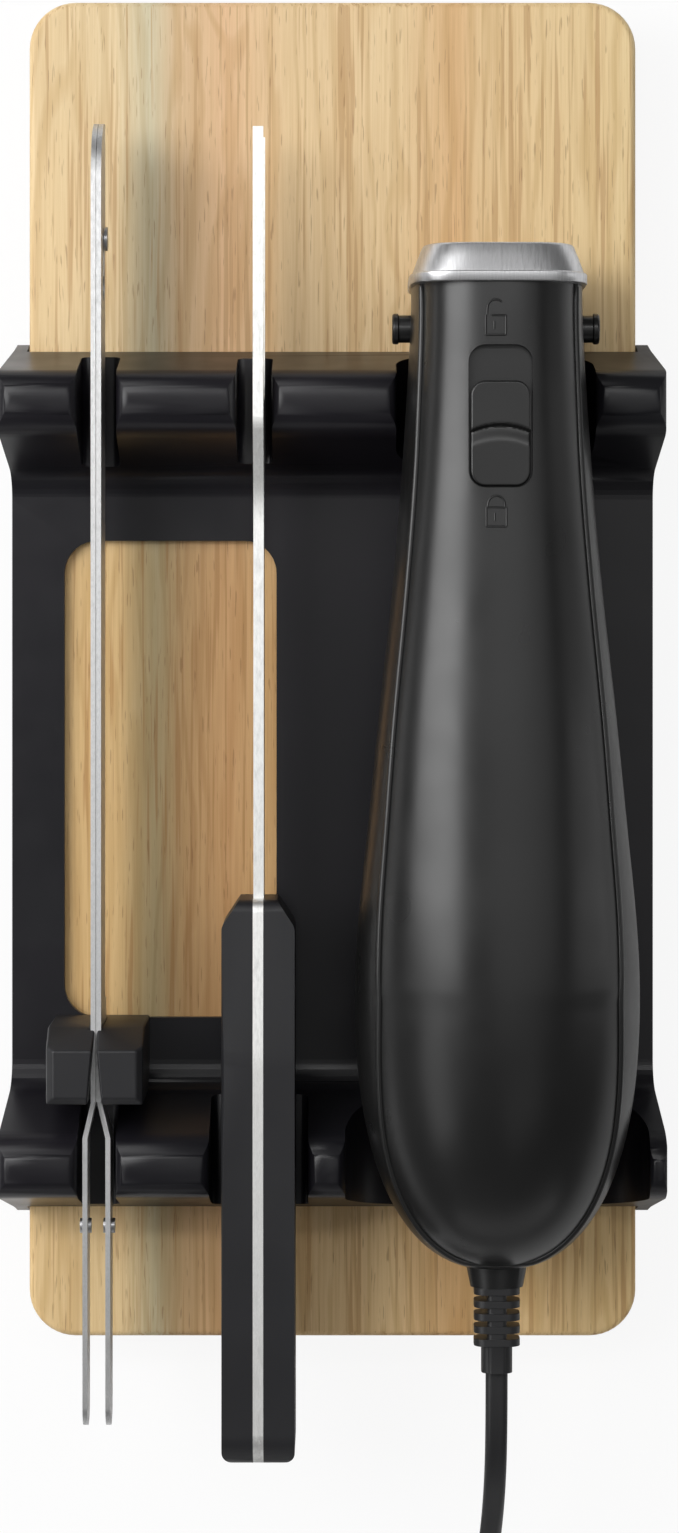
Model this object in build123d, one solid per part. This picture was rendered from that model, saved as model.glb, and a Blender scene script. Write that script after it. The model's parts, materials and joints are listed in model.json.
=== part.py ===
from build123d import *
import math
import os

# Electric carving knife set: the knife, its blade pair, a carving fork and a
# cutting board, all carried by a moulded storage tray.
# Millimetres. X across the tray, Y towards the board's far end, Z up.
# The origin is at the bottom centre of the set, cord left out.

# Cutting board
board_length = 330.0
board_width = 150.0
board_thick = 18.0
board_corner = 11.5
board_edge = 1.8
board_end = 177.5
board_clear = 0.3

# Storage tray
tray_y = -14.65
tray_reach = 106.0
tray_wall = 2.4
tray_foot_half = 78.0
tray_crest_half = 80.3
tray_side_clear = 0.5
deck_thick = 2.2
rail_nub = 1.8
rail_nub_top = 15.0
lip_width = 14.0
lip_thick = 2.2
lip_setback = 3.0
foot_height = 2.5
foot_radius = 5.0
foot_spigot_radius = 2.0
foot_spigot = 1.6
foot_inset_x = 7.0
foot_reach = 92.0
foot_bevel_share = 0.25

# Cross ridges of the tray
ridge_top = 55.5
ridge_base = 21.5
ridge_lean = 7.5
ridge_crest = 13.0
ridge_slope_run = 10.9
ridge_round_out = 7.0
ridge_round_in = 9.5
ridge_round_foot = 8.0
crest_round = 3.5
notch_round = 2.0
land_round_share = 0.42
notch_round_share = 0.95
window_left = -66.1
window_right = -13.8
window_low = -73.3
window_high = 44.2
window_corner = 8.0

# Places across the tray
blade_x = -56.6
fork_x = -17.7
knife_x = 39.3

# Notches of the far ridge and of the near ridge
far_blade_slot = 9.5
far_fork_slot = 8.6
far_fork_slot_shift = -1.1
far_knife_slot = 47.8
near_tang_slot = 9.2
near_fork_slot = 23.7
near_knife_slot = 73.0
neck_notch_round = 16.0
body_notch_round = 26.0
rest_clear = 0.3
deck_clear = 0.3

# Blades
blade_thick = 1.2
blade_gap = 0.1
blade_low = 32.0
blade_height = 22.0
blade_tip = 144.9
blade_tip_round = 15.0
blade_tip_flat = 3.0
tooth_pitch = 5.2
tooth_depth = 1.1
edge_bevel = 5.0
edge_thin = 0.45
rivet_y = 117.0
rivet_radius = 1.6
rivet_head_radius = 2.9
rivet_head = 0.7
rivet_clear = 0.25
key_clear = 0.5
blade_travel = 10.0

# Collars and tangs of the blades
collar_front = -72.6
collar_length = 18.0
collar_width = 11.4
collar_high = 61.0
collar_gap = 0.3
collar_spread = 1.6
collar_chamfer = 1.6
collar_nose = 5.0
collar_nose_share = 1.6
collar_heel = 8.0
tang_spread = 2.1
tang_bend = 9.0
tang_end = -169.2
tang_height = 10.0
tang_overlap = 6.0
tang_notch = 2.0
tang_pin_y = -121.2
tang_pin_radius = 1.8
tang_pin_out = 0.85

# Carving fork
fork_thick = 2.5
fork_mid = 46.0
fork_tip = 142.6
fork_butt = -177.5
fork_handle_front = -42.0
fork_handle_high = 60.0
fork_handle_low = 32.0
fork_waist = 3.5
fork_waist_share = 0.28
fork_belly_share = 0.62
fork_nose_round = 3.0
fork_waist_round = 40.0
fork_belly_round = 60.0
fork_shaft = 11.0
fork_crotch = 78.0
fork_spread = 24.0
prong_width = 5.5
prong_point = 1.2
fork_crotch_share = 0.9
scale_thick = 7.5
scale_nose_run = 6.4
scale_nose_in = 4.2
scale_round = 3.5
scale_butt_round = 8.0
fork_rivet_radius = 3.0
fork_rivet_setback = 22.0

# Knife housing: outline of its sections along Y
nose_y = 106.2
waist_y = -63.2
tail_reach = 67.0
body_half_width = 33.9
body_low = 27.8
body_high = 89.0
housing_wall = 2.4
cover_step = 0.7
tail_power = 2.4
boss_z = 55.0

# Sections from the nose to the widest place: how far along, half width,
# underside and top, each as a share of the run, the half width and the height
section_shares = [
    (0.000, 0.604, 0.000, 0.845, 0.74),
    (0.060, 0.606, 0.000, 0.850, 0.73),
    (0.134, 0.625, 0.000, 0.853, 0.72),
    (0.274, 0.670, 0.045, 0.861, 0.69),
    (0.438, 0.738, 0.110, 0.886, 0.66),
    (0.621, 0.836, 0.115, 0.925, 0.63),
    (0.780, 0.915, 0.075, 0.960, 0.61),
    (0.900, 0.975, 0.030, 0.988, 0.595),
    (1.000, 1.000, 0.005, 1.000, 0.585),
]
tail_shares = [0.18, 0.36, 0.54, 0.70, 0.82, 0.90, 0.955, 0.985]
tail_fullness_share = 0.575
tail_room_share = 2.5

# The hollow inside the shells: sides round it, and which sections it runs through
cavity_sides = 16
cavity_rows = [0, 3, 5, 7, 8, 9, 10, 11, 12, 13, 14]

# Parting line between cover and body, drawn in Y and Z
parting_front_z = 67.5
parting_bend_y = -75.0
parting_bend_z = 76.0
parting_tail_z = 63.0
parting_radius = 150.0
overrun = 12.0

# Nose cap
cap_length = 8.6
cap_taper = 2.6
cap_lip = 1.3
cap_lip_out = 0.5
cap_wall = 3.0
throat_width = 13.0
throat_height = 26.0
throat_round = 3.0

# Lock switch on the cover
track_y_low = 50.6
track_y_high = 84.0
track_width = 15.0
track_corner = 4.0
track_depth = 2.2
pad_thick = 2.6
lock_length = 24.6
lock_play = 0.35
lock_travel = 8.1
lock_thick = 2.3
lock_crown = 2.4
lock_ridge_width = 5.0
lock_ridge_radius = 12.0
lock_ridge_share = 0.1
lock_inset = 0.7
stem_width = 6.0
stem_length = 8.0
lock_bar_thick = 2.0
lock_bar_width = 13.0
lock_leg = 2.0
lock_leg_x = -9.5
lock_leg_length = 3.0
lock_foot_share = 1.4

# Release buttons
button_y = 94.8
button_radius = 3.3
button_rim_radius = 3.7
button_rim = 1.5
rim_bevel_share = 0.25
button_out = 4.3
button_flange_radius = 4.6
button_flange = 1.6
button_inner_end = 9.6
button_play = 0.3
leaf_thick = 0.6
leaf_height = 7.0
leaf_length = 16.0

# Drive: worm, wheel and sliders
motor_z = 63.0
worm_y = -14.0
gear_module = 1.0
wheel_teeth = 20
worm_pitch_radius = 4.0
worm_core_radius = 2.8
worm_length = 18.0
tooth_share = 0.36
gear_root_share = 1.2
gear_tip_share = 0.9
gear_foot_share = 0.72
gear_crest_share = 0.35
wheel_face = 4.0
wheel_web_share = 0.3
wheel_rim_share = 0.78
pin_boss_share = 1.6
pin_root_share = 0.25
wheel_bore_clear = 0.05
wheel_shaft_radius = 2.0
crank_throw = 4.5
crank_pin_radius = 1.5
crank_pin_length = 3.8
link_clear = 0.3
slider_inner = 0.6
slider_outer = 6.0
bar_height = 8.0
yoke_inner = 2.7
yoke_rail = 2.2
socket_height = 13.0
socket_front = 99.0
socket_length = 21.0
socket_depth = 17.0
socket_clear = 0.35

# Gearbox frame
frame_plate_inner = 7.2
frame_plate_thick = 2.5
frame_front = 11.0
frame_guide_thick = 3.0
frame_base_thick = 2.0
frame_low = 41.0
frame_high = 62.0
frame_base_half = 15.0
frame_round = 3.0
frame_bend_round = 6.0
frame_screw_x = 11.25
frame_screw_rise = 7.5
guide_clear = 0.4
front_guide_y = 69.0
front_guide_thick = 2.6

# Motor
motor_front = -36.0
motor_length = 52.0
motor_radius = 18.5
motor_wall = 1.3
end_cap_length = 6.0
end_cap_well = 2.0
holder_radius = 13.3
magnet_thick = 3.6
magnet_span_deg = 120.0
magnet_length = 34.0
magnet_clear = 0.05
core_radius = 12.6
core_length = 28.0
core_shift = 3.0
winding_share = 0.56
winding_radius_share = 0.72
core_slots = 7
core_slot_width = 2.4
core_slot_depth = 6.5
shaft_radius = 2.0
shaft_bevel_share = 0.25
shaft_front = -2.0
shaft_rear = -104.0
bush_radius = 5.0
bush_length = 5.0
bush_clear = 0.04
commutator_radius = 5.5
commutator_length = 9.0
brush_width = 4.0
brush_seat = 0.25
brush_clear = 0.15
fan_radius = 15.0
fan_hub_radius = 5.0
fan_thick = 1.4
fan_blades = 9
fan_blade_height = 4.0
fan_y = -96.0
cradle_clear = 0.3
cradle_thick = 2.2
cradle_places = [-46.0, -78.0]
rib_start_share = 0.72

# Trigger and switch
trigger_pivot_y = 62.0
trigger_pivot_z = 40.0
trigger_width = 12.6
trigger_clear = 0.5
trigger_play = 1.5
trigger_gap_share = 1.2
trigger_rear = 16.0
trigger_high = 41.0
trigger_grip_low = 29.2
trigger_boss = 4.0
trigger_nose_share = 1.5
trigger_toe_share = 1.3
trigger_round = 2.0
trigger_heel_rise = 1.5
trigger_heel_round = 4.0
trigger_curve_rise = 3.0
trigger_curve_round = 25.0
trigger_toe_round = 6.0
trigger_pin_radius = 1.5
ear_round = 1.5
trigger_pin_length = 21.0
trigger_arm_y = 28.0
trigger_arm_width = 6.0
trigger_arm_reach = 10.6
trigger_arm_thick = 2.0
spring_coil_radius = 3.4
spring_wire = 0.8
spring_pitch = 0.92
spring_sides = 6
spring_turns = 3
switch_low = 46.0
switch_height = 10.0
switch_inner = 7.0
switch_width = 6.5
switch_length = 20.0
switch_bevel_share = 0.1
terminal_height = 3.5
plunger_radius = 1.3
plunger_out = 3.5
plunger_inside = 4.5
plunger_x = 9.0
shelf_thick = 2.2

# Rear of the knife
circuit_y = -108.0
circuit_thick = 1.6
circuit_width = 26.0
circuit_height = 20.0
circuit_drop_share = 0.25
rail_half = 8.5
rail_thick = 4.8
diode_length = 4.2
diode_radius = 1.35
diode_pitch = 4.0
diodes = 4
diode_seat_share = 0.8
clamp_y = -116.0
clamp_length = 6.0
clamp_width = 16.0
clamp_height = 7.0
clamp_bevel_share = 0.25
screw_radius = 1.5
screw_head_radius = 2.8
screw_head = 2.0
screw_sink = 1.6
post_radius = 3.6
post_hole_clear = 0.2
post_rear_half = 19.5
post_front_half = 15.5
post_rear_places = [-28.0, -103.0]
post_front_place = 50.0
pilot_radius = 1.2
screw_bite = 4.0

# Strain relief, cord and plug
boss_width = 17.5
boss_height = 13.0
boss_front = -122.0
boss_end = -134.4
boss_end_share = 0.72
relief_width = 11.0
relief_height = 8.4
relief_core_share = 0.42
relief_web_share = 0.9
relief_edge_share = 0.25
relief_round_share = 0.35
relief_rib = 1.7
relief_pitch = 3.05
relief_ribs = 5
relief_collar_width = 7.4
relief_collar_height = 7.0
relief_end = -154.8
cord_width = 5.3
cord_sides = 8
cord_floor_gap = 0.3
loop_gap = 1.45
coil_radius = 40.5
coil_x = -8.5
coil_y = -262.0
half_turns_in = 6
half_turns_out = 5
arc_share = 0.45
tail_run = 13.0
tail_swings_deg = [6.0, 16.0]
plug_length = 30.0
plug_width = 23.0
plug_round = 4.0
plug_neck_length = 9.0
plug_neck_width = 9.0
plug_neck_share = 0.8
prong_plug_length = 16.0
prong_plug_width = 6.3
prong_plug_thick = 1.5
prong_plug_pitch = 12.7
prong_plug_root = 3.0
prong_bevel_share = 0.9
prong_hole_share = 0.75

# Places that follow from the sizes above
board_low = foot_height + lip_thick + board_clear
board_top = board_low + board_thick
deck_under = board_top + board_clear
deck_top = deck_under + deck_thick
collar_bottom = deck_top + deck_clear
collar_back = collar_front - collar_length
blade_high = blade_low + blade_height
tang_mid = blade_low + blade_height / 2 + 2 * tang_notch
cord_radius = cord_width / 2
loop_pitch = cord_width + loop_gap
cord_low_z = cord_floor_gap + cord_radius
cord_high_z = cord_low_z + loop_pitch
wheel_radius = gear_module * wheel_teeth / 2
wheel_z = motor_z - wheel_radius - worm_pitch_radius
body_height = body_high - body_low
nose_run = nose_y - waist_y


def save(name, shape):
    """Write one piece, or a group of like pieces, to its own file."""
    export_step(shape, f"parts/{name}.step")


def outline(*corners):
    """A flat face from corners given as (x, y, radius of the corner)."""
    face = make_face(Polyline(*[corner[:2] for corner in corners], close=True))
    for x, y, radius in corners:
        if radius > 0:
            corner = face.vertices().sort_by_distance((x, y, 0))[0]
            face = fillet(corner, radius)
    return face


def along_x(face, low, high):
    """A face drawn in Y and Z, pulled from one X to another."""
    return extrude(Plane.YZ.offset(low) * face, high - low)


def along_y(face, low, high):
    """A face drawn in X and Z, pulled from one Y to another."""
    return extrude(Plane.XZ.offset(-high) * face, high - low)


def along_z(face, low, high):
    """A face drawn in X and Y, pulled from one Z to another."""
    return extrude(Plane.XY.offset(low) * face, high - low)


def block(x, y, z):
    """A plain block between two X, two Y and two Z places."""
    centre = [(low + high) / 2 for low, high in (x, y, z)]
    size = [abs(high - low) for low, high in (x, y, z)]
    return Pos(*centre) * Box(*size)


def rod_x(radius, low, high, y, z):
    """A round rod along X."""
    return Pos((low + high) / 2, y, z) * Rot(Y=90) * Cylinder(radius, abs(high - low))


def rod_y(radius, low, high, x, z):
    """A round rod along Y."""
    return Pos(x, (low + high) / 2, z) * Rot(X=90) * Cylinder(radius, abs(high - low))


def rod_z(radius, low, high, x, y):
    """A round rod along Z."""
    return Pos(x, y, (low + high) / 2) * Cylinder(radius, abs(high - low))


# Tray

def side_half(z, inset=0):
    """Half width of the tray at a height: its sides lean out a little."""
    lean = (tray_crest_half - tray_foot_half) / (ridge_top - foot_height)
    return tray_foot_half + (z - foot_height) * lean - inset


def ridge_corners(end):
    """Corners of one ridge from its outer base to its inner foot, Y from the tray's middle."""
    crest_out = tray_reach - ridge_lean
    crest_in = crest_out - ridge_crest
    return [
        (end * tray_reach, ridge_base, 0),
        (end * crest_out, ridge_top, ridge_round_out),
        (end * crest_in, ridge_top, ridge_round_in),
        (end * (crest_in - ridge_slope_run), deck_top, ridge_round_foot),
    ]


def tray_side_outline():
    """Outline of the tray seen from the side."""
    nub = tray_reach + rail_nub
    far = [(nub, foot_height, 0), (nub, rail_nub_top, 0)] + ridge_corners(1)
    near = ridge_corners(-1)[::-1] + [(-nub, rail_nub_top, 0), (-nub, foot_height, 0)]
    return Pos(tray_y, 0) * outline(*far, *near)


def notch_list(far):
    """Notches of one ridge: left and right X, floor height and floor round."""
    blade_floor = blade_low - rest_clear
    fork_floor = fork_handle_low - rest_clear
    shaft_floor = fork_mid - fork_spread / 2 - rest_clear
    knife_floor = body_low - rest_clear
    if far:
        fork_middle = fork_x + far_fork_slot_shift
        return [
            (blade_x - far_blade_slot / 2, blade_x + far_blade_slot / 2, blade_floor, notch_round),
            (fork_middle - far_fork_slot / 2, fork_middle + far_fork_slot / 2, shaft_floor, notch_round),
            (knife_x - far_knife_slot / 2, knife_x + far_knife_slot / 2, knife_floor, neck_notch_round),
        ]
    return [
        (blade_x - near_tang_slot / 2, blade_x + near_tang_slot / 2, blade_floor, notch_round),
        (fork_x - near_fork_slot / 2, fork_x + near_fork_slot / 2, fork_floor, notch_round),
        (knife_x - near_knife_slot / 2 + rest_clear, knife_x + near_knife_slot / 2 + rest_clear,
         knife_floor, body_notch_round),
    ]


def land_spans(notches):
    """Stretches of the ridge's crest that stand between the notches."""
    edges = [-side_half(ridge_top)]
    for notch in notches:
        edges += notch[:2]
    edges.append(side_half(ridge_top))
    return list(zip(edges[0::2], edges[1::2]))


def skyline(notches):
    """Outline of the tray seen from an end: leaning sides and the notched crest."""
    lands = land_spans(notches)
    rounds = [min(crest_round, (right - left) * land_round_share) for left, right in lands]
    corners = [(-side_half(foot_height), foot_height, 0)]
    for index, (left, right) in enumerate(lands):
        corners.append((left, ridge_top, rounds[index]))
        corners.append((right, ridge_top, rounds[index]))
        if index < len(notches):
            x_left, x_right, floor, floor_round = notches[index]
            floor_round = min(floor_round, (ridge_top - floor - crest_round) * notch_round_share)
            corners.append((x_left, floor, floor_round))
            corners.append((x_right, floor, floor_round))
    corners.append((side_half(foot_height), foot_height, 0))
    return outline(*corners)


def ridge_hollow(end, notches):
    """Space inside one ridge, a wall's thickness in from its faces and its notches."""
    outer_base, crest_out, crest_in, foot = ridge_corners(end)
    lean = (outer_base[0] - crest_out[0]) / (ridge_top - ridge_base)
    slope = (crest_in[0] - foot[0]) / (ridge_top - deck_top)
    face = outline(
        (outer_base[0] - end * tray_wall - lean * (deck_under - ridge_base), deck_under, 0),
        (crest_out[0] - end * tray_wall + lean * tray_wall, ridge_top - tray_wall,
         ridge_round_out - tray_wall),
        (crest_in[0] + end * tray_wall + slope * -tray_wall, ridge_top - tray_wall,
         ridge_round_in - tray_wall),
        (foot[0] + end * tray_wall + slope * (deck_under - deck_top), deck_under, 0),
    )
    width = side_half(foot_height, tray_wall)
    prism = along_x(Pos(tray_y, 0) * face, -width, width)
    reach = (tray_y, tray_y + end * (tray_reach + overrun))
    spans = []
    for left, right in land_spans(notches):
        left = max(left + tray_wall, -width)
        right = min(right - tray_wall, width)
        if right - left > tray_wall:
            spans.append(block((left, right), reach, (deck_under, ridge_top)))
    for left, right, floor in [notch[:3] for notch in notches]:
        top = floor - tray_wall
        if top - deck_under > deck_thick / 2:
            spans.append(block((left - tray_wall, right + tray_wall), reach, (deck_under, top)))
    return [prism & span for span in spans]


def storage_tray():
    """The moulded tray: a sleeve for the board with two notched ridges across it."""
    width = tray_crest_half + overrun
    shell = along_x(tray_side_outline(), -width, width)
    far_end = along_y(skyline(notch_list(True)), tray_y, tray_y + tray_reach + overrun)
    near_end = along_y(skyline(notch_list(False)), tray_y - tray_reach - overrun, tray_y)
    shell = shell & (far_end + near_end)
    inner = board_width / 2 + tray_side_clear
    reach = (tray_y - tray_reach - overrun, tray_y + tray_reach + overrun)
    shell -= block((-inner, inner), reach, (0, deck_under))
    for end, far in ((1, True), (-1, False)):
        for hollow in ridge_hollow(end, notch_list(far)):
            shell -= hollow
    window = RectangleRounded(window_right - window_left, window_high - window_low, window_corner)
    window = Pos((window_left + window_right) / 2, (window_low + window_high) / 2) * window
    shell -= along_z(window, deck_under - deck_thick, deck_top + deck_thick)
    for side in (-1, 1):
        lip = block(
            (side * (inner - lip_width), side * (inner + tray_wall / 2)),
            (tray_y - tray_reach + lip_setback, tray_y + tray_reach - lip_setback),
            (foot_height, foot_height + lip_thick),
        )
        shell += lip
    for x, y in foot_places():
        shell -= rod_z(foot_spigot_radius, foot_height, foot_height + foot_spigot, x, y)
    return shell


def foot_places():
    """Middles of the four rubber feet."""
    x = board_width / 2 - foot_inset_x
    return [(sx * x, tray_y + sy * foot_reach) for sx in (-1, 1) for sy in (-1, 1)]


def rubber_feet():
    """Four feet, each a dished pad with a spigot pressed into the tray's lip."""
    feet = []
    for x, y in foot_places():
        pad = rod_z(foot_radius, 0, foot_height, x, y)
        pad = chamfer(pad.edges().group_by(Axis.Z)[0], foot_height * foot_bevel_share)
        pad += rod_z(foot_spigot_radius, foot_height, foot_height + foot_spigot, x, y)
        feet.append(pad)
    return Compound(children=feet)


def cutting_board():
    """Wooden board with round corners and softened edges."""
    face = RectangleRounded(board_width, board_length, board_corner)
    board = along_z(Pos(0, board_end - board_length / 2) * face, board_low, board_top)
    rims = board.edges().group_by(Axis.Z)
    return fillet(rims[0] + rims[-1], board_edge)


# Blades

def blade_outline():
    """Outline of one blade in Y and Z, scalloped along its upper edge."""
    heel = collar_back
    shoulder = blade_tip - blade_tip_flat
    belly = blade_tip - blade_tip_round
    count = int((shoulder - collar_front) / tooth_pitch)
    start = (heel, blade_low)
    edges = Curve() + Line(start, (belly, blade_low))
    edges += TangentArc((belly, blade_low), (blade_tip, blade_high - blade_tip_flat), tangent=(1, 0))
    edges += Line((blade_tip, blade_high - blade_tip_flat), (shoulder, blade_high))
    place = shoulder
    for _ in range(count):
        following = place - tooth_pitch
        middle = (place - tooth_pitch / 2, blade_high - tooth_depth)
        edges += ThreePointArc((place, blade_high), middle, (following, blade_high))
        place = following
    edges += Line((place, blade_high), (heel, blade_high))
    edges += Line((heel, blade_high), start)
    return make_face(edges)


def blade(side):
    """One blade with its tang, bent outwards behind the collar; side is -1 or 1."""
    inner = blade_x + side * blade_gap / 2
    outer = inner + side * blade_thick
    plate = along_x(blade_outline(), min(inner, outer), max(inner, outer))
    thin = inner + side * edge_thin
    wedge = outline(
        (outer + side * blade_thick, blade_high + blade_thick, 0),
        (outer + side * blade_thick, blade_high - edge_bevel, 0),
        (outer, blade_high - edge_bevel, 0),
        (thin, blade_high, 0),
        (thin, blade_high + blade_thick, 0),
    )
    plate -= along_y(wedge, collar_front + tooth_pitch, blade_tip + overrun)
    bend_start = collar_back + tang_overlap
    bend_end = collar_back - tang_bend
    shift = side * tang_spread
    strip = outline(
        (inner, bend_start, 0), (inner, collar_back, 0),
        (inner + shift, bend_end, 0), (inner + shift, tang_end, 0),
        (outer + shift, tang_end, 0), (outer + shift, bend_end, 0),
        (outer, collar_back, 0), (outer, bend_start, 0),
    )
    tang = along_z(strip, tang_mid - tang_height / 2, tang_mid + tang_height / 2)
    rear = tang_end + tang_height / 2
    cutter = block((min(inner, outer + shift) - overrun, max(inner, outer + shift) + overrun),
                   (tang_end, rear), (tang_mid - tang_height, tang_mid + tang_height))
    cutter -= rod_x(tang_height / 2, blade_x - overrun * 2, blade_x + overrun * 2, rear, tang_mid)
    tang -= cutter
    return plate + tang


def blade_left():
    """The blade that carries the rivet."""
    hole = rod_x(rivet_radius, blade_x - blade_thick * 2, blade_x + blade_thick, rivet_y, rivet_z())
    return blade(-1) - hole - tang_hole(-1)


def blade_right():
    """The blade with the keyhole that slides along the rivet."""
    steel = blade(1)
    slot_radius = rivet_radius + rivet_clear
    hole_radius = rivet_head_radius + key_clear
    slot_end = rivet_y - blade_travel
    reach = (blade_x - blade_thick, blade_x + blade_thick * 2)
    steel -= rod_x(slot_radius, *reach, rivet_y, rivet_z())
    steel -= block(reach, (slot_end, rivet_y), (rivet_z() - slot_radius, rivet_z() + slot_radius))
    steel -= rod_x(hole_radius, *reach, slot_end - hole_radius / 2, rivet_z())
    return steel - tang_hole(1)


def rivet_z():
    """Height of the rivet in the blade."""
    return blade_low + blade_height / 2


def blade_rivet():
    """Headed rivet, fixed in the left blade, its head over the right one."""
    left = blade_x - blade_gap / 2 - blade_thick
    right = blade_x + blade_gap / 2 + blade_thick
    stem = rod_x(rivet_radius, left - rivet_head / 2, right + rivet_clear, rivet_y, rivet_z())
    head = rod_x(rivet_head_radius, right + rivet_clear, right + rivet_clear + rivet_head,
                 rivet_y, rivet_z())
    tail = rod_x(rivet_head_radius - rivet_head, left - rivet_head / 2, left, rivet_y, rivet_z())
    return stem + head + tail


def tang_x(side):
    """Middle of one tang's thickness."""
    return blade_x + side * (blade_gap / 2 + blade_thick / 2 + tang_spread)


def tang_hole(side):
    """Hole in one tang for its cross pin."""
    x = tang_x(side)
    return rod_x(tang_pin_radius, x - blade_thick, x + blade_thick, tang_pin_y, tang_mid)


def tang_pin(side):
    """Short cross pin that the drive catches hold of; its inner end is the shorter."""
    x = tang_x(side)
    inner = x - side * (blade_thick / 2 + rivet_head)
    outer = x + side * (blade_thick / 2 + tang_pin_out)
    return rod_x(tang_pin_radius, min(inner, outer), max(inner, outer), tang_pin_y, tang_mid)


def collar(side):
    """Half of the two-part collar, moulded round its own blade."""
    inner = blade_x + side * collar_gap / 2
    outer = inner + side * collar_width
    back_inner = inner + side * collar_spread
    plan = outline(
        (inner, collar_front, 0), (outer, collar_front, 0),
        (outer, collar_back, 0), (back_inner, collar_back, 0),
    )
    half = along_z(plan, collar_bottom, collar_high)
    side_view = outline(
        (collar_front, collar_bottom, 0), (collar_front, collar_high - collar_nose * collar_nose_share, 0),
        (collar_front - collar_nose, collar_high, 0), (collar_back + collar_chamfer, collar_high, 0),
        (collar_back, collar_high - collar_chamfer, 0), (collar_back, collar_bottom + collar_heel, 0),
        (collar_back + collar_heel, collar_bottom, 0),
    )
    reach = blade_x + side * (collar_width + overrun)
    half &= along_x(side_view, min(reach, blade_x), max(reach, blade_x))
    corner = outline(
        (outer - side * collar_chamfer, collar_high, 0),
        (outer + side * collar_chamfer, collar_high - 2 * collar_chamfer, 0),
        (outer + side * collar_chamfer, collar_high + collar_chamfer, 0),
    )
    half -= along_y(corner, collar_back - overrun, collar_front + overrun)
    return half - blade(side)


# Fork

def fork_handle_corners():
    """Corners of the fork's handle in Y and Z, shared by the steel and the scales."""
    length = fork_handle_front - fork_butt
    waist_y = fork_handle_front - length * fork_waist_share
    belly_y = fork_handle_front - length * fork_belly_share
    return [
        (fork_handle_front, fork_handle_low + fork_waist, fork_nose_round),
        (waist_y, fork_handle_low, fork_waist_round),
        (belly_y, fork_handle_low + fork_waist / 3, fork_belly_round),
        (fork_butt, fork_handle_low - fork_waist / 2, scale_butt_round),
        (fork_butt, fork_handle_high - fork_waist / 2, scale_butt_round),
        (waist_y, fork_handle_high, fork_belly_round),
        (fork_handle_front, fork_handle_high - fork_waist / 2, fork_nose_round),
    ]


def fork_steel():
    """Stamped steel of the fork: full tang, shaft and two prongs."""
    x = (fork_x - fork_thick / 2, fork_x + fork_thick / 2)
    handle = along_x(outline(*fork_handle_corners()), *x)
    half = fork_shaft / 2
    root = fork_crotch - fork_spread
    wide = fork_spread / 2
    inner = wide - prong_width
    shaft = outline(
        (fork_handle_front - fork_shaft, fork_mid - half, 0),
        (root, fork_mid - half, fork_spread),
        (fork_crotch - fork_spread / 4, fork_mid - wide, fork_spread / 3),
        (fork_tip, fork_mid - wide, 0),
        (fork_tip, fork_mid - wide + prong_point, 0),
        (fork_crotch, fork_mid - inner, inner * fork_crotch_share),
        (fork_crotch, fork_mid + inner, inner * fork_crotch_share),
        (fork_tip, fork_mid + wide - prong_point, 0),
        (fork_tip, fork_mid + wide, 0),
        (fork_crotch - fork_spread / 4, fork_mid + wide, fork_spread / 3),
        (root, fork_mid + half, fork_spread),
        (fork_handle_front - fork_shaft, fork_mid + half, 0),
    )
    steel = handle + along_x(shaft, *x)
    for y in fork_rivet_places():
        steel -= rod_x(fork_rivet_radius, x[0] - fork_thick, x[1] + fork_thick, y, fork_mid)
    return steel


def fork_rivet_places():
    """Three rivets along the fork's handle."""
    first = fork_handle_front - fork_rivet_setback
    last = fork_butt + fork_rivet_setback
    return [first, (first + last) / 2, last]


def fork_scale(side):
    """One handle scale with a tapered front and rounded long edges."""
    inner = fork_x + side * fork_thick / 2
    outer = inner + side * scale_thick
    slab = along_x(outline(*fork_handle_corners()), min(inner, outer), max(inner, outer))
    plan = outline(
        (inner, fork_handle_front, 0),
        (outer - side * scale_nose_in, fork_handle_front, 0),
        (outer, fork_handle_front - scale_nose_run, scale_round),
        (outer, fork_butt, scale_round),
        (inner, fork_butt, 0),
    )
    slab &= along_z(plan, fork_handle_low - overrun, fork_handle_high + overrun)
    section = outline(
        (inner, fork_handle_low - fork_waist, 0),
        (outer, fork_handle_low - fork_waist / 2, scale_round),
        (outer, fork_handle_high, scale_round),
        (inner, fork_handle_high + fork_waist, 0),
    )
    slab &= along_y(section, fork_butt - overrun, fork_handle_front + overrun)
    for y in fork_rivet_places():
        slab -= rod_x(fork_rivet_radius, min(inner, outer) - scale_thick,
                      max(inner, outer) + scale_thick, y, fork_mid)
    return slab


def fork_rivets():
    """Three rivets through the scales and the tang."""
    reach = fork_thick / 2 + scale_thick
    rivets = [rod_x(fork_rivet_radius, fork_x - reach, fork_x + reach, y, fork_mid)
              for y in fork_rivet_places()]
    return Compound(children=rivets)


# Knife housing

def section_sizes():
    """Y, half width, underside, top and fullness of each section, nose to tail."""
    sizes = []
    for along, width, low, high, fullness in section_shares:
        sizes.append((nose_y - along * nose_run, width * body_half_width,
                      body_low + low * body_height, body_low + high * body_height, fullness))
    middle = (body_low + body_high) / 2
    for along in tail_shares:
        shrink = (1 - along ** tail_power) ** (1 / tail_power)
        centre = middle + (boss_z - middle) * along ** tail_power
        half = body_height / 2 * shrink
        sizes.append((waist_y - along * tail_reach, body_half_width * shrink,
                      centre - half, centre + half, tail_fullness_share))
    return sizes


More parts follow.
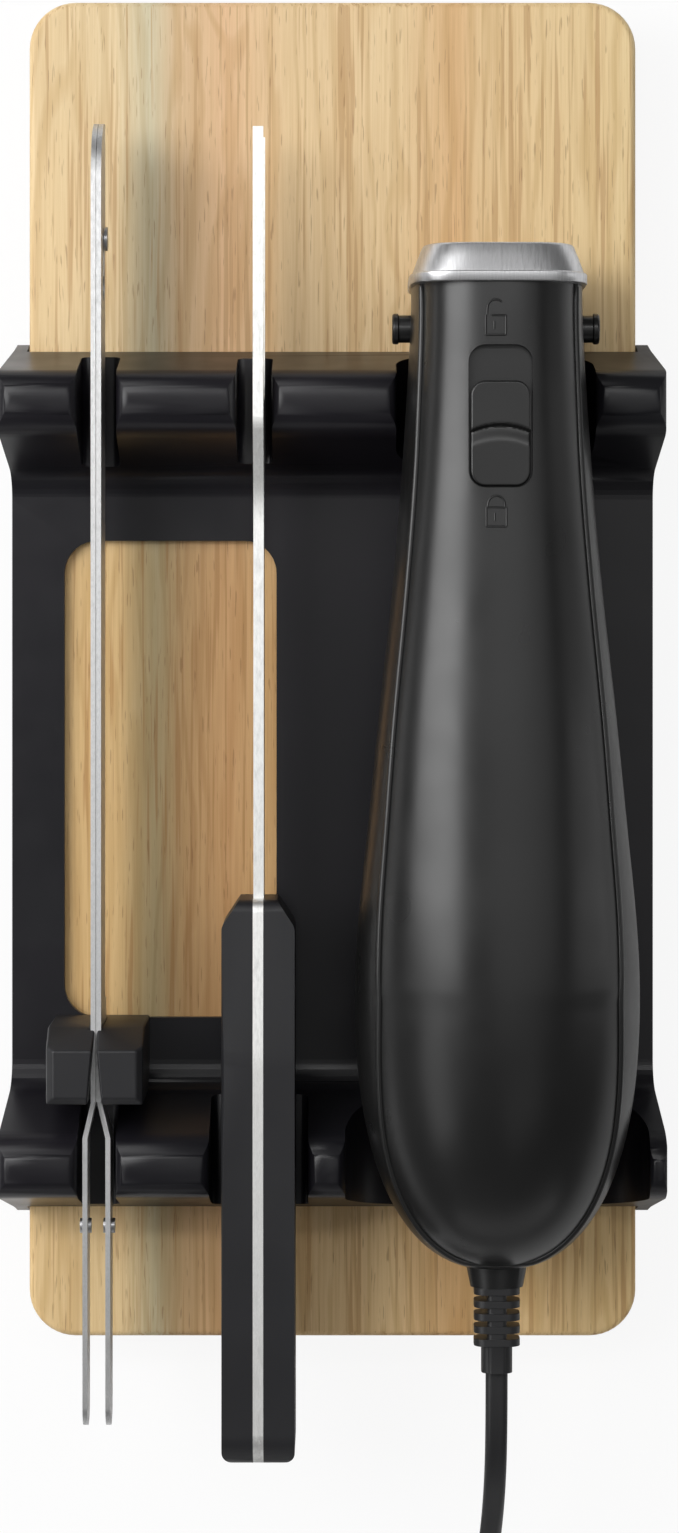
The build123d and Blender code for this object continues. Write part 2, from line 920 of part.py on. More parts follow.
def section(y, half_width, low, high, fullness, inset=0):
    """A closed oval section of four Bezier quarters, across the knife at Y."""
    a = half_width - inset
    b = (high - low) / 2 - inset
    z = (high + low) / 2
    quarters = []
    for sx, sz in ((1, 1), (-1, 1), (-1, -1), (1, -1)):
        side = (knife_x + sx * a, y, z)
        top = (knife_x, y, z + sz * b)
        near_side = (knife_x + sx * a, y, z + sz * b * fullness)
        near_top = (knife_x + sx * a * fullness, y, z + sz * b)
        if sx * sz > 0:
            quarters.append(Bezier(side, near_side, near_top, top))
        else:
            quarters.append(Bezier(top, near_top, near_side, side))
    return Wire([quarter.edge() for quarter in quarters])


def body_form(inset=0):
    """The knife's whole smooth form, drawn in by an inset."""
    return Solid.make_loft([section(*size, inset) for size in section_sizes()])


def cavity_form():
    """The hollow inside both shells, open at the nose and flat between its sections."""
    inset = housing_wall + cover_step
    sizes = [section_sizes()[row] for row in cavity_rows]
    sizes = [size for size in sizes if size[1] > inset * tail_room_share]
    ahead = (nose_y + overrun, *sizes[0][1:])
    wires = []
    for size in [ahead] + sizes:
        oval = section(*size, inset)
        wires.append(Wire.make_polygon([oval @ (side / cavity_sides) for side in range(cavity_sides)]))
    return Solid.make_loft(wires, True)


def parting_block(above):
    """Everything above the parting line, or everything below it."""
    front = parting_front_y()
    rear = boss_end - overrun
    slope = (parting_tail_z - parting_bend_z) / (boss_end - parting_bend_y)
    rear_z = parting_tail_z + slope * (rear - boss_end)
    far_z = body_high + overrun if above else body_low - overrun
    face = outline(
        (front, parting_front_z, 0), (parting_bend_y, parting_bend_z, parting_radius),
        (rear, rear_z, 0), (rear, far_z, 0), (front, far_z, 0),
    )
    reach = body_half_width + overrun
    return along_x(face, knife_x - reach, knife_x + reach)


def post_places():
    """Middles of the four screw posts that hold cover and body together."""
    rear = [(knife_x + side * post_rear_half, y) for side in (-1, 1) for y in post_rear_places]
    front = [(knife_x + side * post_front_half, post_front_place) for side in (-1, 1)]
    return rear + front


def parting_z(y):
    """Height of the parting line at a place along the knife."""
    if y > parting_bend_y:
        share = (parting_front_y() - y) / (parting_front_y() - parting_bend_y)
        return parting_front_z + share * (parting_bend_z - parting_front_z)
    share = (parting_bend_y - y) / (parting_bend_y - boss_end)
    return parting_bend_z + share * (parting_tail_z - parting_bend_z)


def parting_front_y():
    """Where the parting line starts, ahead of the nose."""
    return nose_y + cap_length + overrun


def section_at(y):
    """Half width, underside and top of the housing at a place along it."""
    sizes = section_sizes()
    for ahead, behind in zip(sizes, sizes[1:]):
        if behind[0] <= y <= ahead[0]:
            share = (ahead[0] - y) / (ahead[0] - behind[0])
            return [a + (b - a) * share for a, b in zip(ahead[1:4], behind[1:4])]
    return sizes[0][1:4]


def cover_top(y):
    """Height of the housing's top at a place along it."""
    return section_at(y)[2]


def surface_low(x, y):
    """Height of the body's underside at a place beside the knife's axis."""
    width, low, high = section_at(y)
    drop = (1 - (abs(x - knife_x) / width) ** tail_power) ** (1 / tail_power)
    return (low + high) / 2 - (high - low) / 2 * drop


def screw_seat(x, y):
    """Height of the shoulder under a housing screw's head."""
    return surface_low(x, y) + screw_head + screw_sink


def track_floor():
    """Floor of the lock switch's recess."""
    return cover_top(track_y_high) - cover_step - track_depth


def upper_housing():
    """Top cover: the lock switch's recess, its pad, screw posts and a motor rib."""
    cavity = cavity_form()
    outer = body_form(cover_step)
    above = parting_block(True)
    cover = (outer & above) - cavity
    x_pad = (knife_x - track_width / 2 - housing_wall, knife_x + track_width / 2 + housing_wall)
    pad = block(x_pad, (track_y_low - housing_wall, track_y_high + housing_wall),
                (track_floor() - pad_thick, body_high))
    cover += pad & outer
    middle = (track_y_low + track_y_high) / 2
    recess = Pos(knife_x, middle) * RectangleRounded(track_width, track_y_high - track_y_low, track_corner)
    cover -= along_z(recess, track_floor(), body_high + overrun)
    slot = (track_y_low + lock_play + lock_length / 2 - stem_length / 2 - lock_play,
            track_y_low + lock_play + lock_length / 2 + stem_length / 2 + lock_travel + lock_play)
    cover -= block((knife_x - stem_width / 2 - lock_play, knife_x + stem_width / 2 + lock_play),
                   slot, (track_floor() - overrun, track_floor() + overrun))
    for x, y in post_places():
        cover += rod_z(post_radius, body_low, body_high, x, y) & outer & above
        cover -= rod_z(pilot_radius, body_low, parting_z(y) + screw_bite, x, y)
    for y in cradle_places:
        rib = block((knife_x - body_half_width, knife_x + body_half_width),
                    (y - cradle_thick / 2, y + cradle_thick / 2),
                    (motor_z + motor_radius * rib_start_share, body_high))
        rib = rib & outer
        rib -= rod_y(motor_radius + cradle_clear, y - cradle_thick, y + cradle_thick, knife_x, motor_z)
        cover += rib & above
    return cover


def lower_housing():
    """Body shell: cradle ribs, slider guide, screw posts, openings and the cord boss."""
    form = body_form()
    below = parting_block(False)
    cavity = cavity_form()
    solid = form & below
    shell = solid - cavity
    inside = cavity & below
    for y in cradle_places:
        rib = block((knife_x - body_half_width, knife_x + body_half_width),
                    (y - cradle_thick / 2, y + cradle_thick / 2), (body_low, motor_z)) & inside
        rib -= rod_y(motor_radius + cradle_clear, y - cradle_thick, y + cradle_thick, knife_x, motor_z)
        shell += rib
    shell += slider_guide() & inside
    for shelf in switch_shelves():
        shell += shelf & inside
    for x, y in post_places():
        seat = screw_seat(x, y)
        shell += rod_z(post_radius, body_low, body_high, x, y) & solid
        shell -= rod_z(screw_radius + post_hole_clear, body_low - overrun, body_high, x, y)
        shell -= rod_z(screw_head_radius + post_hole_clear, body_low - overrun, seat, x, y)
    for side in (-1, 1):
        reach = body_half_width + overrun
        shell -= rod_x(button_radius + button_play, knife_x, knife_x + side * reach, button_y, wheel_z)
    shell -= block((knife_x - trigger_width / 2 - trigger_clear, knife_x + trigger_width / 2 + trigger_clear),
                   (trigger_rear - trigger_play, trigger_pivot_y - trigger_boss * trigger_gap_share),
                   (body_low - overrun, trigger_high - trigger_clear))
    for side in (-1, 1):
        x = sorted((knife_x + side * (trigger_width / 2 + trigger_clear),
                    knife_x + side * (trigger_width / 2 + trigger_clear + housing_wall)))
        ear = outline(
            (trigger_pivot_y - trigger_boss, trigger_pivot_z + trigger_boss, ear_round),
            (trigger_pivot_y + trigger_boss, trigger_pivot_z + trigger_boss, ear_round),
            (trigger_pivot_y + trigger_boss, body_low, 0), (trigger_pivot_y - trigger_boss, body_low, 0),
        )
        if side < 0:
            x = [value - spring_wire * (spring_turns + 1) for value in x]
        shell += along_x(ear, *x) & solid
    shell -= rod_x(trigger_pin_radius, knife_x - trigger_pin_length / 2, knife_x + trigger_pin_length / 2,
                   trigger_pivot_y, trigger_pivot_z)
    boss = boss_form()
    shell += boss - cavity
    shell -= rod_y(cord_radius + link_clear, boss_end - overrun, boss_front + overrun * 2, knife_x, boss_z)
    shelf_z = boss_z - clamp_height / 2
    clamp_post = block((knife_x - clamp_width / 2, knife_x + clamp_width / 2),
                       (clamp_y - clamp_length / 2, clamp_y + clamp_length / 2),
                       (body_low, shelf_z)) & inside
    shell += clamp_post
    board_rail = block((knife_x - rail_half, knife_x + rail_half),
                       (circuit_y - rail_thick / 2, circuit_y + rail_thick / 2),
                       (body_low, circuit_low() + circuit_thick)) & inside
    board_rail -= circuit_board_blank(link_clear)
    shell += board_rail
    return shell


def boss_form():
    """Tapered boss that the cord leaves by."""
    root = Plane.XZ.offset(-boss_front) * Pos(knife_x, boss_z) * Ellipse(boss_width / 2, boss_height / 2)
    end = Plane.XZ.offset(-boss_end) * Pos(knife_x, boss_z)
    end = end * Ellipse(boss_width / 2 * boss_end_share, boss_height / 2 * boss_end_share)
    return loft([root, end])


def slider_guide():
    """Wall across the neck with a window that the two sliders run through."""
    y = (front_guide_y - front_guide_thick / 2, front_guide_y + front_guide_thick / 2)
    wall = block((knife_x - body_half_width, knife_x + body_half_width), y,
                 (body_low, wheel_z + bar_height / 2 + housing_wall))
    wall -= block((knife_x - slider_outer - guide_clear, knife_x + slider_outer + guide_clear),
                  (y[0] - guide_clear, y[1] + guide_clear),
                  (wheel_z - bar_height / 2 - guide_clear, wheel_z + bar_height / 2 + guide_clear))
    return wall


def switch_shelves():
    """Two ribs that carry the switch, one at each end of it."""
    shelves = []
    for end in (-1, 1):
        y = trigger_arm_y + end * (switch_length / 2 - shelf_thick / 2)
        shelves.append(block((knife_x + switch_inner + guide_clear, knife_x + body_half_width),
                             (y - shelf_thick / 2, y + shelf_thick / 2), (body_low, switch_low)))
    return shelves


def nose_cap():
    """Bright cap over the nose, with the throat that the tangs enter by."""
    y0, width, low, high, fullness = section_sizes()[0]
    back = section(y0, width, low, high, fullness)
    front = section(y0 + cap_length, width, low, high, fullness, cap_taper)
    cap = Solid.make_loft([back, front], True)
    lip_back = section(y0, width, low, high, fullness, -cap_lip_out)
    lip_front = section(y0 + cap_lip, width, low, high, fullness, -cap_lip_out)
    cap += Solid.make_loft([lip_back, lip_front], True)
    inner_back = section(y0 - cap_lip, width, low, high, fullness, cap_taper + cap_wall)
    inner_front = section(y0 + cap_length - cap_wall, width, low, high, fullness, cap_taper + cap_wall)
    cap -= Solid.make_loft([inner_back, inner_front], True)
    throat = Pos(knife_x, wheel_z) * RectangleRounded(throat_width, throat_height, throat_round)
    return cap - along_y(throat, y0 - overrun, y0 + cap_length + overrun)


# Lock switch, buttons and trigger

def lock_base():
    """Y of the lock switch's middle and height of its underside, at rest."""
    return track_y_low + lock_play + lock_length / 2, track_floor() + lock_play


def lock_slider():
    """Thumb switch with a curved ridge and a stem through the cover."""
    y, z = lock_base()
    width = track_width - 2 * lock_play
    plate = Pos(knife_x, y) * RectangleRounded(width, lock_length, track_corner - lock_play)
    slider = along_z(plate, z, z + lock_thick)
    arch_y = y - lock_ridge_radius + lock_length * lock_ridge_share
    crown = Pos(knife_x, arch_y) * (Circle(lock_ridge_radius) - Circle(lock_ridge_radius - lock_ridge_width))
    crown = along_z(crown, z, z + lock_thick + lock_crown)
    inside = Pos(knife_x, y) * RectangleRounded(width - lock_inset * 2, lock_length, track_corner)
    crown = crown & along_z(inside, z, z + lock_thick + lock_crown)
    crown &= block((knife_x - width, knife_x + width), (arch_y + lock_ridge_radius / 2, y + lock_length),
                   (z, z + lock_thick + lock_crown))
    slider += crown
    stem_low = track_floor() - pad_thick - lock_play
    slider += block((knife_x - stem_width / 2, knife_x + stem_width / 2),
                    (y - stem_length / 2, y + stem_length / 2), (stem_low, z))
    return slider


def lock_bar():
    """Plate under the cover, clipped to the stem, with a leg down to the trigger."""
    y = lock_base()[0]
    top = track_floor() - pad_thick - lock_play
    bar = block((knife_x - lock_bar_width / 2, knife_x + lock_bar_width / 2),
                (y - stem_length, y + stem_length), (top - lock_bar_thick, top))
    leg_x = knife_x + lock_leg_x
    bar += block((leg_x - lock_leg / 2, knife_x), (y - stem_length, y - stem_length + lock_leg_length),
                 (top - lock_bar_thick, top))
    foot = trigger_pivot_z + trigger_boss * lock_foot_share
    leg = block((leg_x - lock_leg / 2, leg_x + lock_leg / 2),
                (y - stem_length, y - stem_length + lock_leg_length), (foot, top))
    return bar + leg


def button_wall():
    """Outer X of the housing's flank at the buttons, from the knife's middle."""
    return section_at(button_y)[0]


def release_button(side):
    """Button with a rim outside and a flange inside that keeps it in."""
    face = button_wall() + button_out
    flange = button_wall() - cover_step - housing_wall * 2 - button_play
    stem = rod_x(button_radius, knife_x + side * flange, knife_x + side * face, button_y, wheel_z)
    rim = rod_x(button_rim_radius, knife_x + side * (face - button_rim), knife_x + side * face,
                button_y, wheel_z)
    rim = chamfer(rim.edges().group_by(Axis.X)[-1 if side > 0 else 0], button_rim * rim_bevel_share)
    collar_ring = rod_x(button_flange_radius, knife_x + side * (flange - button_flange),
                        knife_x + side * flange, button_y, wheel_z)
    tip = rod_x(button_radius / 2, knife_x + side * button_inner_end, knife_x + side * flange,
                button_y, wheel_z)
    return stem + rim + collar_ring + tip


def release_springs():
    """Two leaf springs, rooted in the slider guide, that push the buttons out."""
    leaves = []
    root = front_guide_y + front_guide_thick / 2
    flange = button_wall() - cover_step - housing_wall * 2 - button_play - button_flange
    for side in (-1, 1):
        outer = knife_x + side * (flange - leaf_thick / 2)
        inner = outer - side * leaf_thick
        tip = button_y + button_flange_radius
        bent = outer + side * leaf_thick * 2
        strip = outline(
            (min(bent, outer) if side < 0 else max(bent, outer), root, 0),
            ((min(bent, outer) if side < 0 else max(bent, outer)) - side * leaf_thick, root, 0),
            (inner, root + leaf_length / 2, 0), (inner, tip, 0), (outer, tip, 0),
            (outer, root + leaf_length / 2, 0),
        )
        leaf = along_z(strip, wheel_z - leaf_height / 2, wheel_z + leaf_height / 2)
        hole = rod_x(button_radius / 2 + button_play, knife_x, outer + side * leaf_thick, button_y, wheel_z)
        leaves.append(leaf - hole)
    return Compound(children=leaves)


def trigger():
    """Rocker under the neck: pivot boss, finger curve, crown and the switch arm."""
    x = (knife_x - trigger_width / 2, knife_x + trigger_width / 2)
    nose = trigger_pivot_y - trigger_boss * trigger_nose_share
    middle = (nose + trigger_rear) / 2
    profile = outline(
        (nose, trigger_high, 0), (trigger_rear, trigger_high, trigger_round),
        (trigger_rear, trigger_grip_low + trigger_heel_rise, trigger_heel_round),
        (middle, trigger_grip_low + trigger_curve_rise, trigger_curve_round),
        (nose - trigger_boss, trigger_grip_low, trigger_toe_round),
        (nose, trigger_pivot_z - trigger_boss * trigger_toe_share, 0),
    )
    body = along_x(profile, *x)
    neck = block(x, (nose, trigger_pivot_y), (trigger_pivot_z - trigger_boss / 2, trigger_high))
    body += neck
    body += rod_x(trigger_boss, *x, trigger_pivot_y, trigger_pivot_z)
    pocket = block((x[0] + housing_wall, x[1] - housing_wall),
                   (trigger_rear + housing_wall, nose - housing_wall),
                   (trigger_high - housing_wall * 2, trigger_high + housing_wall))
    body -= pocket
    body += block((x[1] - housing_wall, knife_x + trigger_arm_reach),
                  (trigger_arm_y - trigger_arm_width / 2, trigger_arm_y + trigger_arm_width / 2),
                  (trigger_high - trigger_arm_thick / 2, trigger_high + trigger_arm_thick / 2))
    return body - rod_x(trigger_pin_radius + bush_clear, *x, trigger_pivot_y, trigger_pivot_z)


def trigger_pin():
    """Steel pin that the trigger rocks on, fixed in the body's two ears."""
    return rod_x(trigger_pin_radius, knife_x - trigger_pin_length / 2, knife_x + trigger_pin_length / 2,
                 trigger_pivot_y, trigger_pivot_z)


def trigger_spring():
    """Torsion spring round the pin, between the trigger and the left ear."""
    height = spring_pitch * spring_turns
    outer = knife_x - trigger_width / 2 - trigger_clear
    helix = Helix(height / spring_turns, height, spring_coil_radius - spring_wire / 2)
    section_plane = Plane(origin=helix @ 0, z_dir=helix % 0)
    coil = sweep(section_plane * RegularPolygon(spring_wire / 2, spring_sides), path=helix, is_frenet=True)
    coil = Pos(outer, trigger_pivot_y, trigger_pivot_z) * Rot(Y=-90) * coil
    return coil


def switch_body():
    """Snap switch beside the sliders, with a bore for its plunger."""
    body = block((knife_x + switch_inner, knife_x + switch_inner + switch_width),
                 (trigger_arm_y - switch_length / 2, trigger_arm_y + switch_length / 2),
                 (switch_low, switch_low + switch_height))
    body = chamfer(body.edges().filter_by(Axis.Z), switch_width * switch_bevel_share)
    for end in (-1, 1):
        y = trigger_arm_y + end * switch_length / 3
        body += block((knife_x + switch_inner + switch_width / 3, knife_x + switch_inner + switch_width / 2),
                      (y - plunger_radius, y + plunger_radius),
                      (switch_low + switch_height, switch_low + switch_height + terminal_height))
    return body - rod_z(plunger_radius + link_clear / 2, switch_low - overrun,
                        switch_low + plunger_inside + plunger_out, knife_x + plunger_x, trigger_arm_y)


def switch_plunger():
    """Plunger that the trigger's arm pushes up into the switch."""
    low = trigger_high + trigger_arm_thick / 2 + link_clear
    return rod_z(plunger_radius, low, switch_low + plunger_inside, knife_x + plunger_x, trigger_arm_y)


# Drive train

def wheel_profile():
    """Toothed outline of the worm wheel in Y and Z, tooth middle facing the worm."""
    root = wheel_radius - gear_module * gear_root_share
    tip = wheel_radius + gear_module * gear_tip_share
    step = 360 / wheel_teeth
    half_root = step * tooth_share * gear_foot_share
    half_tip = step * tooth_share * gear_crest_share
    points = []
    for tooth in range(wheel_teeth):
        middle = 90 + tooth * step
        for angle, radius in ((middle - half_root, root), (middle - half_tip, tip),
                              (middle + half_tip, tip), (middle + half_root, root)):
            turn = math.radians(angle)
            points.append((radius * math.cos(turn), radius * math.sin(turn)))
    return make_face(Polyline(*points, close=True))


def worm_wheel():
    """Moulded wheel with a hub bore and lightening recess."""
    wheel = along_x(wheel_profile(), -wheel_face / 2, wheel_face / 2)
    for side in (-1, 1):
        web = side * wheel_face * wheel_web_share
        ring = rod_x(wheel_radius * wheel_rim_share, web, side * wheel_face, 0, 0)
        ring -= rod_x(crank_throw + crank_pin_radius * pin_boss_share, web, side * wheel_face, 0, 0)
        wheel -= ring
    wheel -= rod_x(wheel_shaft_radius + wheel_bore_clear, -wheel_face, wheel_face, 0, 0)
    for side in (-1, 1):
        root = side * wheel_face * pin_root_share
        wheel -= rod_x(crank_pin_radius, root, side * wheel_face, 0, side * crank_throw)
    return Pos(knife_x, worm_y, wheel_z) * wheel


def crank_pins():
    """Two pins, half a turn apart, one on each face of the wheel."""
    pins = []
    for side in (-1, 1):
        root = side * wheel_face * pin_root_share
        end = side * (wheel_face / 2 + crank_pin_length)
        pin = rod_x(crank_pin_radius, root, end, 0, side * crank_throw)
        pins.append(Pos(knife_x, worm_y, wheel_z) * pin)
    return Compound(children=pins)


def wheel_shaft():
    """Fixed shaft of the worm wheel, across the gearbox frame."""
    reach = frame_plate_inner + frame_plate_thick
    return rod_x(wheel_shaft_radius, knife_x - reach, knife_x + reach, worm_y, wheel_z)


def drive_slider(side):
    """One slider: yoke round the crank pin, bar, and a socket for a tang."""
    inner = knife_x + side * slider_inner
    yoke_in = knife_x + side * yoke_inner
    outer = knife_x + side * slider_outer
    half_window = 2 * crank_throw + crank_pin_radius + link_clear
    window_rise = crank_throw + crank_pin_radius + link_clear
    yoke = block((min(yoke_in, outer), max(yoke_in, outer)),
                 (worm_y - half_window - yoke_rail, worm_y + half_window + yoke_rail),
                 (wheel_z - window_rise - yoke_rail, wheel_z + window_rise + yoke_rail))
    yoke -= block((min(yoke_in, outer) - link_clear, max(yoke_in, outer) + link_clear),
                  (worm_y - half_window, worm_y + half_window),
                  (wheel_z - window_rise, wheel_z + window_rise))
    bar_x = sorted((inner, outer))
    step_y = worm_y + half_window + yoke_rail + crank_throw + yoke_rail
    link = block(sorted((yoke_in, outer)), (worm_y + half_window + yoke_rail, step_y),
                 (wheel_z - bar_height / 2, wheel_z + bar_height / 2))
    bar = block(bar_x, (step_y, socket_front - socket_length),
                (wheel_z - bar_height / 2, wheel_z + bar_height / 2))
    socket = block(bar_x, (socket_front - socket_length, socket_front),
                   (wheel_z - socket_height / 2, wheel_z + socket_height / 2))
    tang = abs(tang_x(side) - blade_x)
    slot = sorted((knife_x + side * (tang - blade_thick / 2 - socket_clear),
                   knife_x + side * (tang + blade_thick / 2 + socket_clear)))
    socket -= block(slot, (socket_front - socket_depth, socket_front + overrun),
                    (wheel_z - tang_height / 2 - socket_clear, wheel_z + tang_height / 2 + socket_clear))
    socket -= rod_x(tang_pin_radius + socket_clear, *bar_x,
                    socket_front - socket_depth / 2, wheel_z)
    return yoke + link + bar + socket


def thread():
    """Single-start worm thread as one swept ridge on the core."""
    lead = math.pi * gear_module
    tip = worm_pitch_radius + gear_module * gear_tip_share
    half_root = lead * tooth_share * gear_foot_share
    half_tip = lead * tooth_share * gear_crest_share
    helix = Helix(lead, worm_length - 2 * half_root - link_clear, worm_pitch_radius)
    start = helix @ 0
    profile = Plane(origin=start, x_dir=(1, 0, 0), z_dir=(0, -1, 0))
    root = worm_core_radius - worm_pitch_radius - link_clear / 2
    ridge = make_face(Polyline((root, -half_root), (tip - worm_pitch_radius, -half_tip),
                               (tip - worm_pitch_radius, half_tip), (root, half_root), close=True))
    return sweep(profile * ridge, path=helix, is_frenet=True), half_root


def worm():
    """Steel worm on the rotor's shaft."""
    core = Cylinder(worm_core_radius, worm_length)
    ridge, half_root = thread()
    ridge = Pos(0, 0, -worm_length / 2 + half_root + link_clear / 2) * ridge
    screw = core + ridge
    screw -= Cylinder(shaft_radius, worm_length * 2)
    turned = Rot(X=90) * Rot(Z=worm_phase()) * screw
    return Pos(knife_x, worm_y, motor_z) * turned


def worm_phase():
    """Turn of the worm that puts a thread gap over the wheel's top tooth."""
    lead = math.pi * gear_module
    half_root = lead * tooth_share * gear_foot_share
    start = -worm_length / 2 + half_root + link_clear / 2
    turns = -start / lead
    return 90 - (turns % 1) * 360


def armature_shaft():
    """Long shaft through the motor, from the worm to the fan."""
    shaft = rod_y(shaft_radius, shaft_rear, shaft_front, knife_x, motor_z)
    ends = shaft.edges().group_by(Axis.Y)
    return chamfer(ends[0] + ends[-1], shaft_radius * shaft_bevel_share)


def armature_core():
    """Slotted iron core with its windings taken as one solid."""
    face = Circle(core_radius)
    for index in range(core_slots):
        slot = Rot(Z=index * 360 / core_slots) * Pos(core_radius, 0)
        face -= slot * Rectangle(2 * core_slot_depth, core_slot_width)
    middle = motor_front - motor_length / 2 + core_shift
    core = along_y(face, -core_length / 2, core_length / 2)
    winding = core_length * winding_share
    ends = rod_y(core_radius * winding_radius_share, -winding, winding, 0, 0)
    core += ends
    core -= rod_y(shaft_radius, -core_length, core_length, 0, 0)
    return Pos(knife_x, middle, motor_z) * core


def commutator_y():
    """Middle of the commutator, inside the end cap."""
    return motor_front - motor_length + commutator_length / 2 + bush_length / 2


def commutator():
    """Copper commutator drum."""
    y = commutator_y()
    drum = rod_y(commutator_radius, y - commutator_length / 2, y + commutator_length / 2, knife_x, motor_z)
    return drum - rod_y(shaft_radius, y - commutator_length, y + commutator_length, knife_x, motor_z)


def cooling_fan():
    """Radial fan behind the motor."""
    hub = rod_y(fan_hub_radius, -fan_blade_height - fan_thick, 0, 0, 0)
    disc = rod_y(fan_radius, -fan_thick, 0, 0, 0)
    fan = hub + disc
    for index in range(fan_blades):
        vane = block((fan_hub_radius - fan_thick / 2, fan_radius),
                     (-fan_thick - fan_blade_height, -fan_thick / 2), (-fan_thick / 2, fan_thick / 2))
        fan += Rot(Y=index * 360 / fan_blades) * vane
    fan -= rod_y(shaft_radius, -fan_blade_height - overrun, overrun, 0, 0)
    return Pos(knife_x, fan_y, motor_z) * fan


def motor_can():
    """Drawn steel can, open at the rear, with a seat for the front bush."""
    rear = motor_front - motor_length
    can = rod_y(motor_radius, rear, motor_front, knife_x, motor_z)
    can -= rod_y(motor_radius - motor_wall, rear - overrun, motor_front - motor_wall, knife_x, motor_z)
    can -= rod_y(bush_radius, motor_front - overrun / 2, motor_front + overrun, knife_x, motor_z)
    return can


def motor_end_cap():
    """Moulded rear cap that holds the rear bush and the brushes."""
    rear = motor_front - motor_length
    cap = rod_y(motor_radius, rear - end_cap_length, rear, knife_x, motor_z)
    front = commutator_y() + brush_width / 2 + brush_clear
    cap += rod_y(motor_radius - motor_wall - magnet_clear, rear, front, knife_x, motor_z)
    cap -= rod_y(holder_radius, rear - end_cap_well, front, knife_x, motor_z)
    cap -= rod_y(bush_radius, rear - end_cap_length - overrun, front, knife_x, motor_z)
    return cap


def bush(y):
    """Bronze bush round the shaft."""
    sleeve = rod_y(bush_radius, y - bush_length / 2, y + bush_length / 2, knife_x, motor_z)
    return sleeve - rod_y(shaft_radius + bush_clear, y - bush_length, y + bush_length, knife_x, motor_z)


def carbon_brushes():
    """Two carbon brushes, one each side of the commutator."""
    brushes = []
    y = commutator_y()
    for side in (-1, 1):
        near = knife_x + side * (commutator_radius + brush_clear)
        far = knife_x + side * (math.sqrt(holder_radius ** 2 - (brush_width / 2) ** 2) - brush_seat)
        brushes.append(block((min(near, far), max(near, far)), (y - brush_width / 2, y + brush_width / 2),
                             (motor_z - brush_width / 2, motor_z + brush_width / 2)))
    return Compound(children=brushes)


def field_magnets():
    """Two arc magnets against the can's wall."""
    outer = motor_radius - motor_wall - magnet_clear
    middle = motor_front - motor_length / 2 + core_shift
    magnets = []
    for start in (-magnet_span_deg / 2, 180 - magnet_span_deg / 2):
        first = math.radians(start)
        last = math.radians(start + magnet_span_deg)
        centre = math.radians(start + magnet_span_deg / 2)
        inner = outer - magnet_thick

        def place(radius, angle):
            return (radius * math.cos(angle), radius * math.sin(angle))

        edges = Curve() + ThreePointArc(place(outer, first), place(outer, centre), place(outer, last))
        edges += Line(place(outer, last), place(inner, last))
        edges += ThreePointArc(place(inner, last), place(inner, centre), place(inner, first))
        edges += Line(place(inner, first), place(outer, first))
        magnet = along_y(make_face(edges), -magnet_length / 2, magnet_length / 2)
        magnets.append(Pos(knife_x, middle, motor_z) * magnet)
    return Compound(children=magnets)


def gearbox_frame():
    """Frame bolted to the motor: two side plates, a base and the slider guide."""
    inner = frame_plate_inner
    outer = inner + frame_plate_thick
    front = frame_front
    base = block((knife_x - frame_base_half, knife_x + frame_base_half),
                 (motor_front, motor_front + frame_base_thick),
                 (frame_low, motor_z + frame_base_half))
    base -= rod_y(bush_radius + link_clear, motor_front - overrun, motor_front + overrun, knife_x, motor_z)
    frame = base
    for side in (-1, 1):
        x = sorted((knife_x + side * inner, knife_x + side * outer))
        plate = outline(
            (motor_front + frame_base_thick / 2, frame_low, 0), (front, frame_low, frame_round),
            (front, wheel_z + bar_height, frame_round),
            (worm_y + wheel_radius, frame_high, frame_bend_round),
            (motor_front + frame_base_thick / 2, frame_high, 0),
        )
        frame += along_x(plate, *x)
    guide = block((knife_x - outer, knife_x + outer), (front - frame_guide_thick, front),
                  (frame_low, wheel_z + bar_height))
    guide -= block((knife_x - slider_outer - guide_clear, knife_x + slider_outer + guide_clear),
                   (front - overrun, front + overrun),
                   (wheel_z - bar_height / 2 - guide_clear, wheel_z + bar_height / 2 + guide_clear))
    frame += guide
    for x, z in gearbox_screw_places():
        frame -= rod_y(screw_radius, motor_front - overrun, motor_front + overrun, x, z)
    frame -= rod_x(wheel_shaft_radius, knife_x - outer, knife_x + outer, worm_y, wheel_z)
    return frame


def gearbox_screw_places():
    """Two screws through the frame's base into the motor's face."""
    return [(knife_x + side * frame_screw_x, motor_z + frame_screw_rise) for side in (-1, 1)]


def gearbox_screws():
    """Pan-head screws that hold the frame to the motor."""
    screws = []
    for x, z in gearbox_screw_places():
        seat = motor_front + frame_base_thick
        screw = rod_y(screw_radius, motor_front, seat, x, z)
        screws.append(screw + rod_y(screw_head_radius, seat, seat + screw_head, x, z))
    return Compound(children=screws)


def housing_screws():
    """Six screws up through the body's posts into the cover."""
    screws = []
    for x, y in post_places():
        seat = screw_seat(x, y)
        tip = parting_z(y) + screw_bite - post_hole_clear
        stem = rod_z(pilot_radius, seat, tip, x, y)
        screws.append(stem + rod_z(screw_head_radius, seat - screw_head, seat, x, y))
    return Compound(children=screws)


# Rear end and cord

def circuit_low():
    """Lower edge of the circuit board."""
    return boss_z - circuit_height * circuit_drop_share


def circuit_board_blank(grow=0):
    """The board itself, or the slot that holds it."""
    return block((knife_x - circuit_width / 2 - grow, knife_x + circuit_width / 2 + grow),
                 (circuit_y - circuit_thick / 2 - grow, circuit_y + circuit_thick / 2 + grow),
                 (circuit_low() - grow, circuit_low() + circuit_height))


def rectifier_board():
    """Circuit board with four diodes that feed the motor."""
    board = circuit_board_blank()
    face = circuit_y + circuit_thick / 2
    for index in range(diodes):
        z = circuit_low() + circuit_height / 2 + (index - 1) * diode_pitch
        board += rod_x(diode_radius, knife_x - diode_length / 2, knife_x + diode_length / 2,
                       face + diode_radius * diode_seat_share, z)
    return board


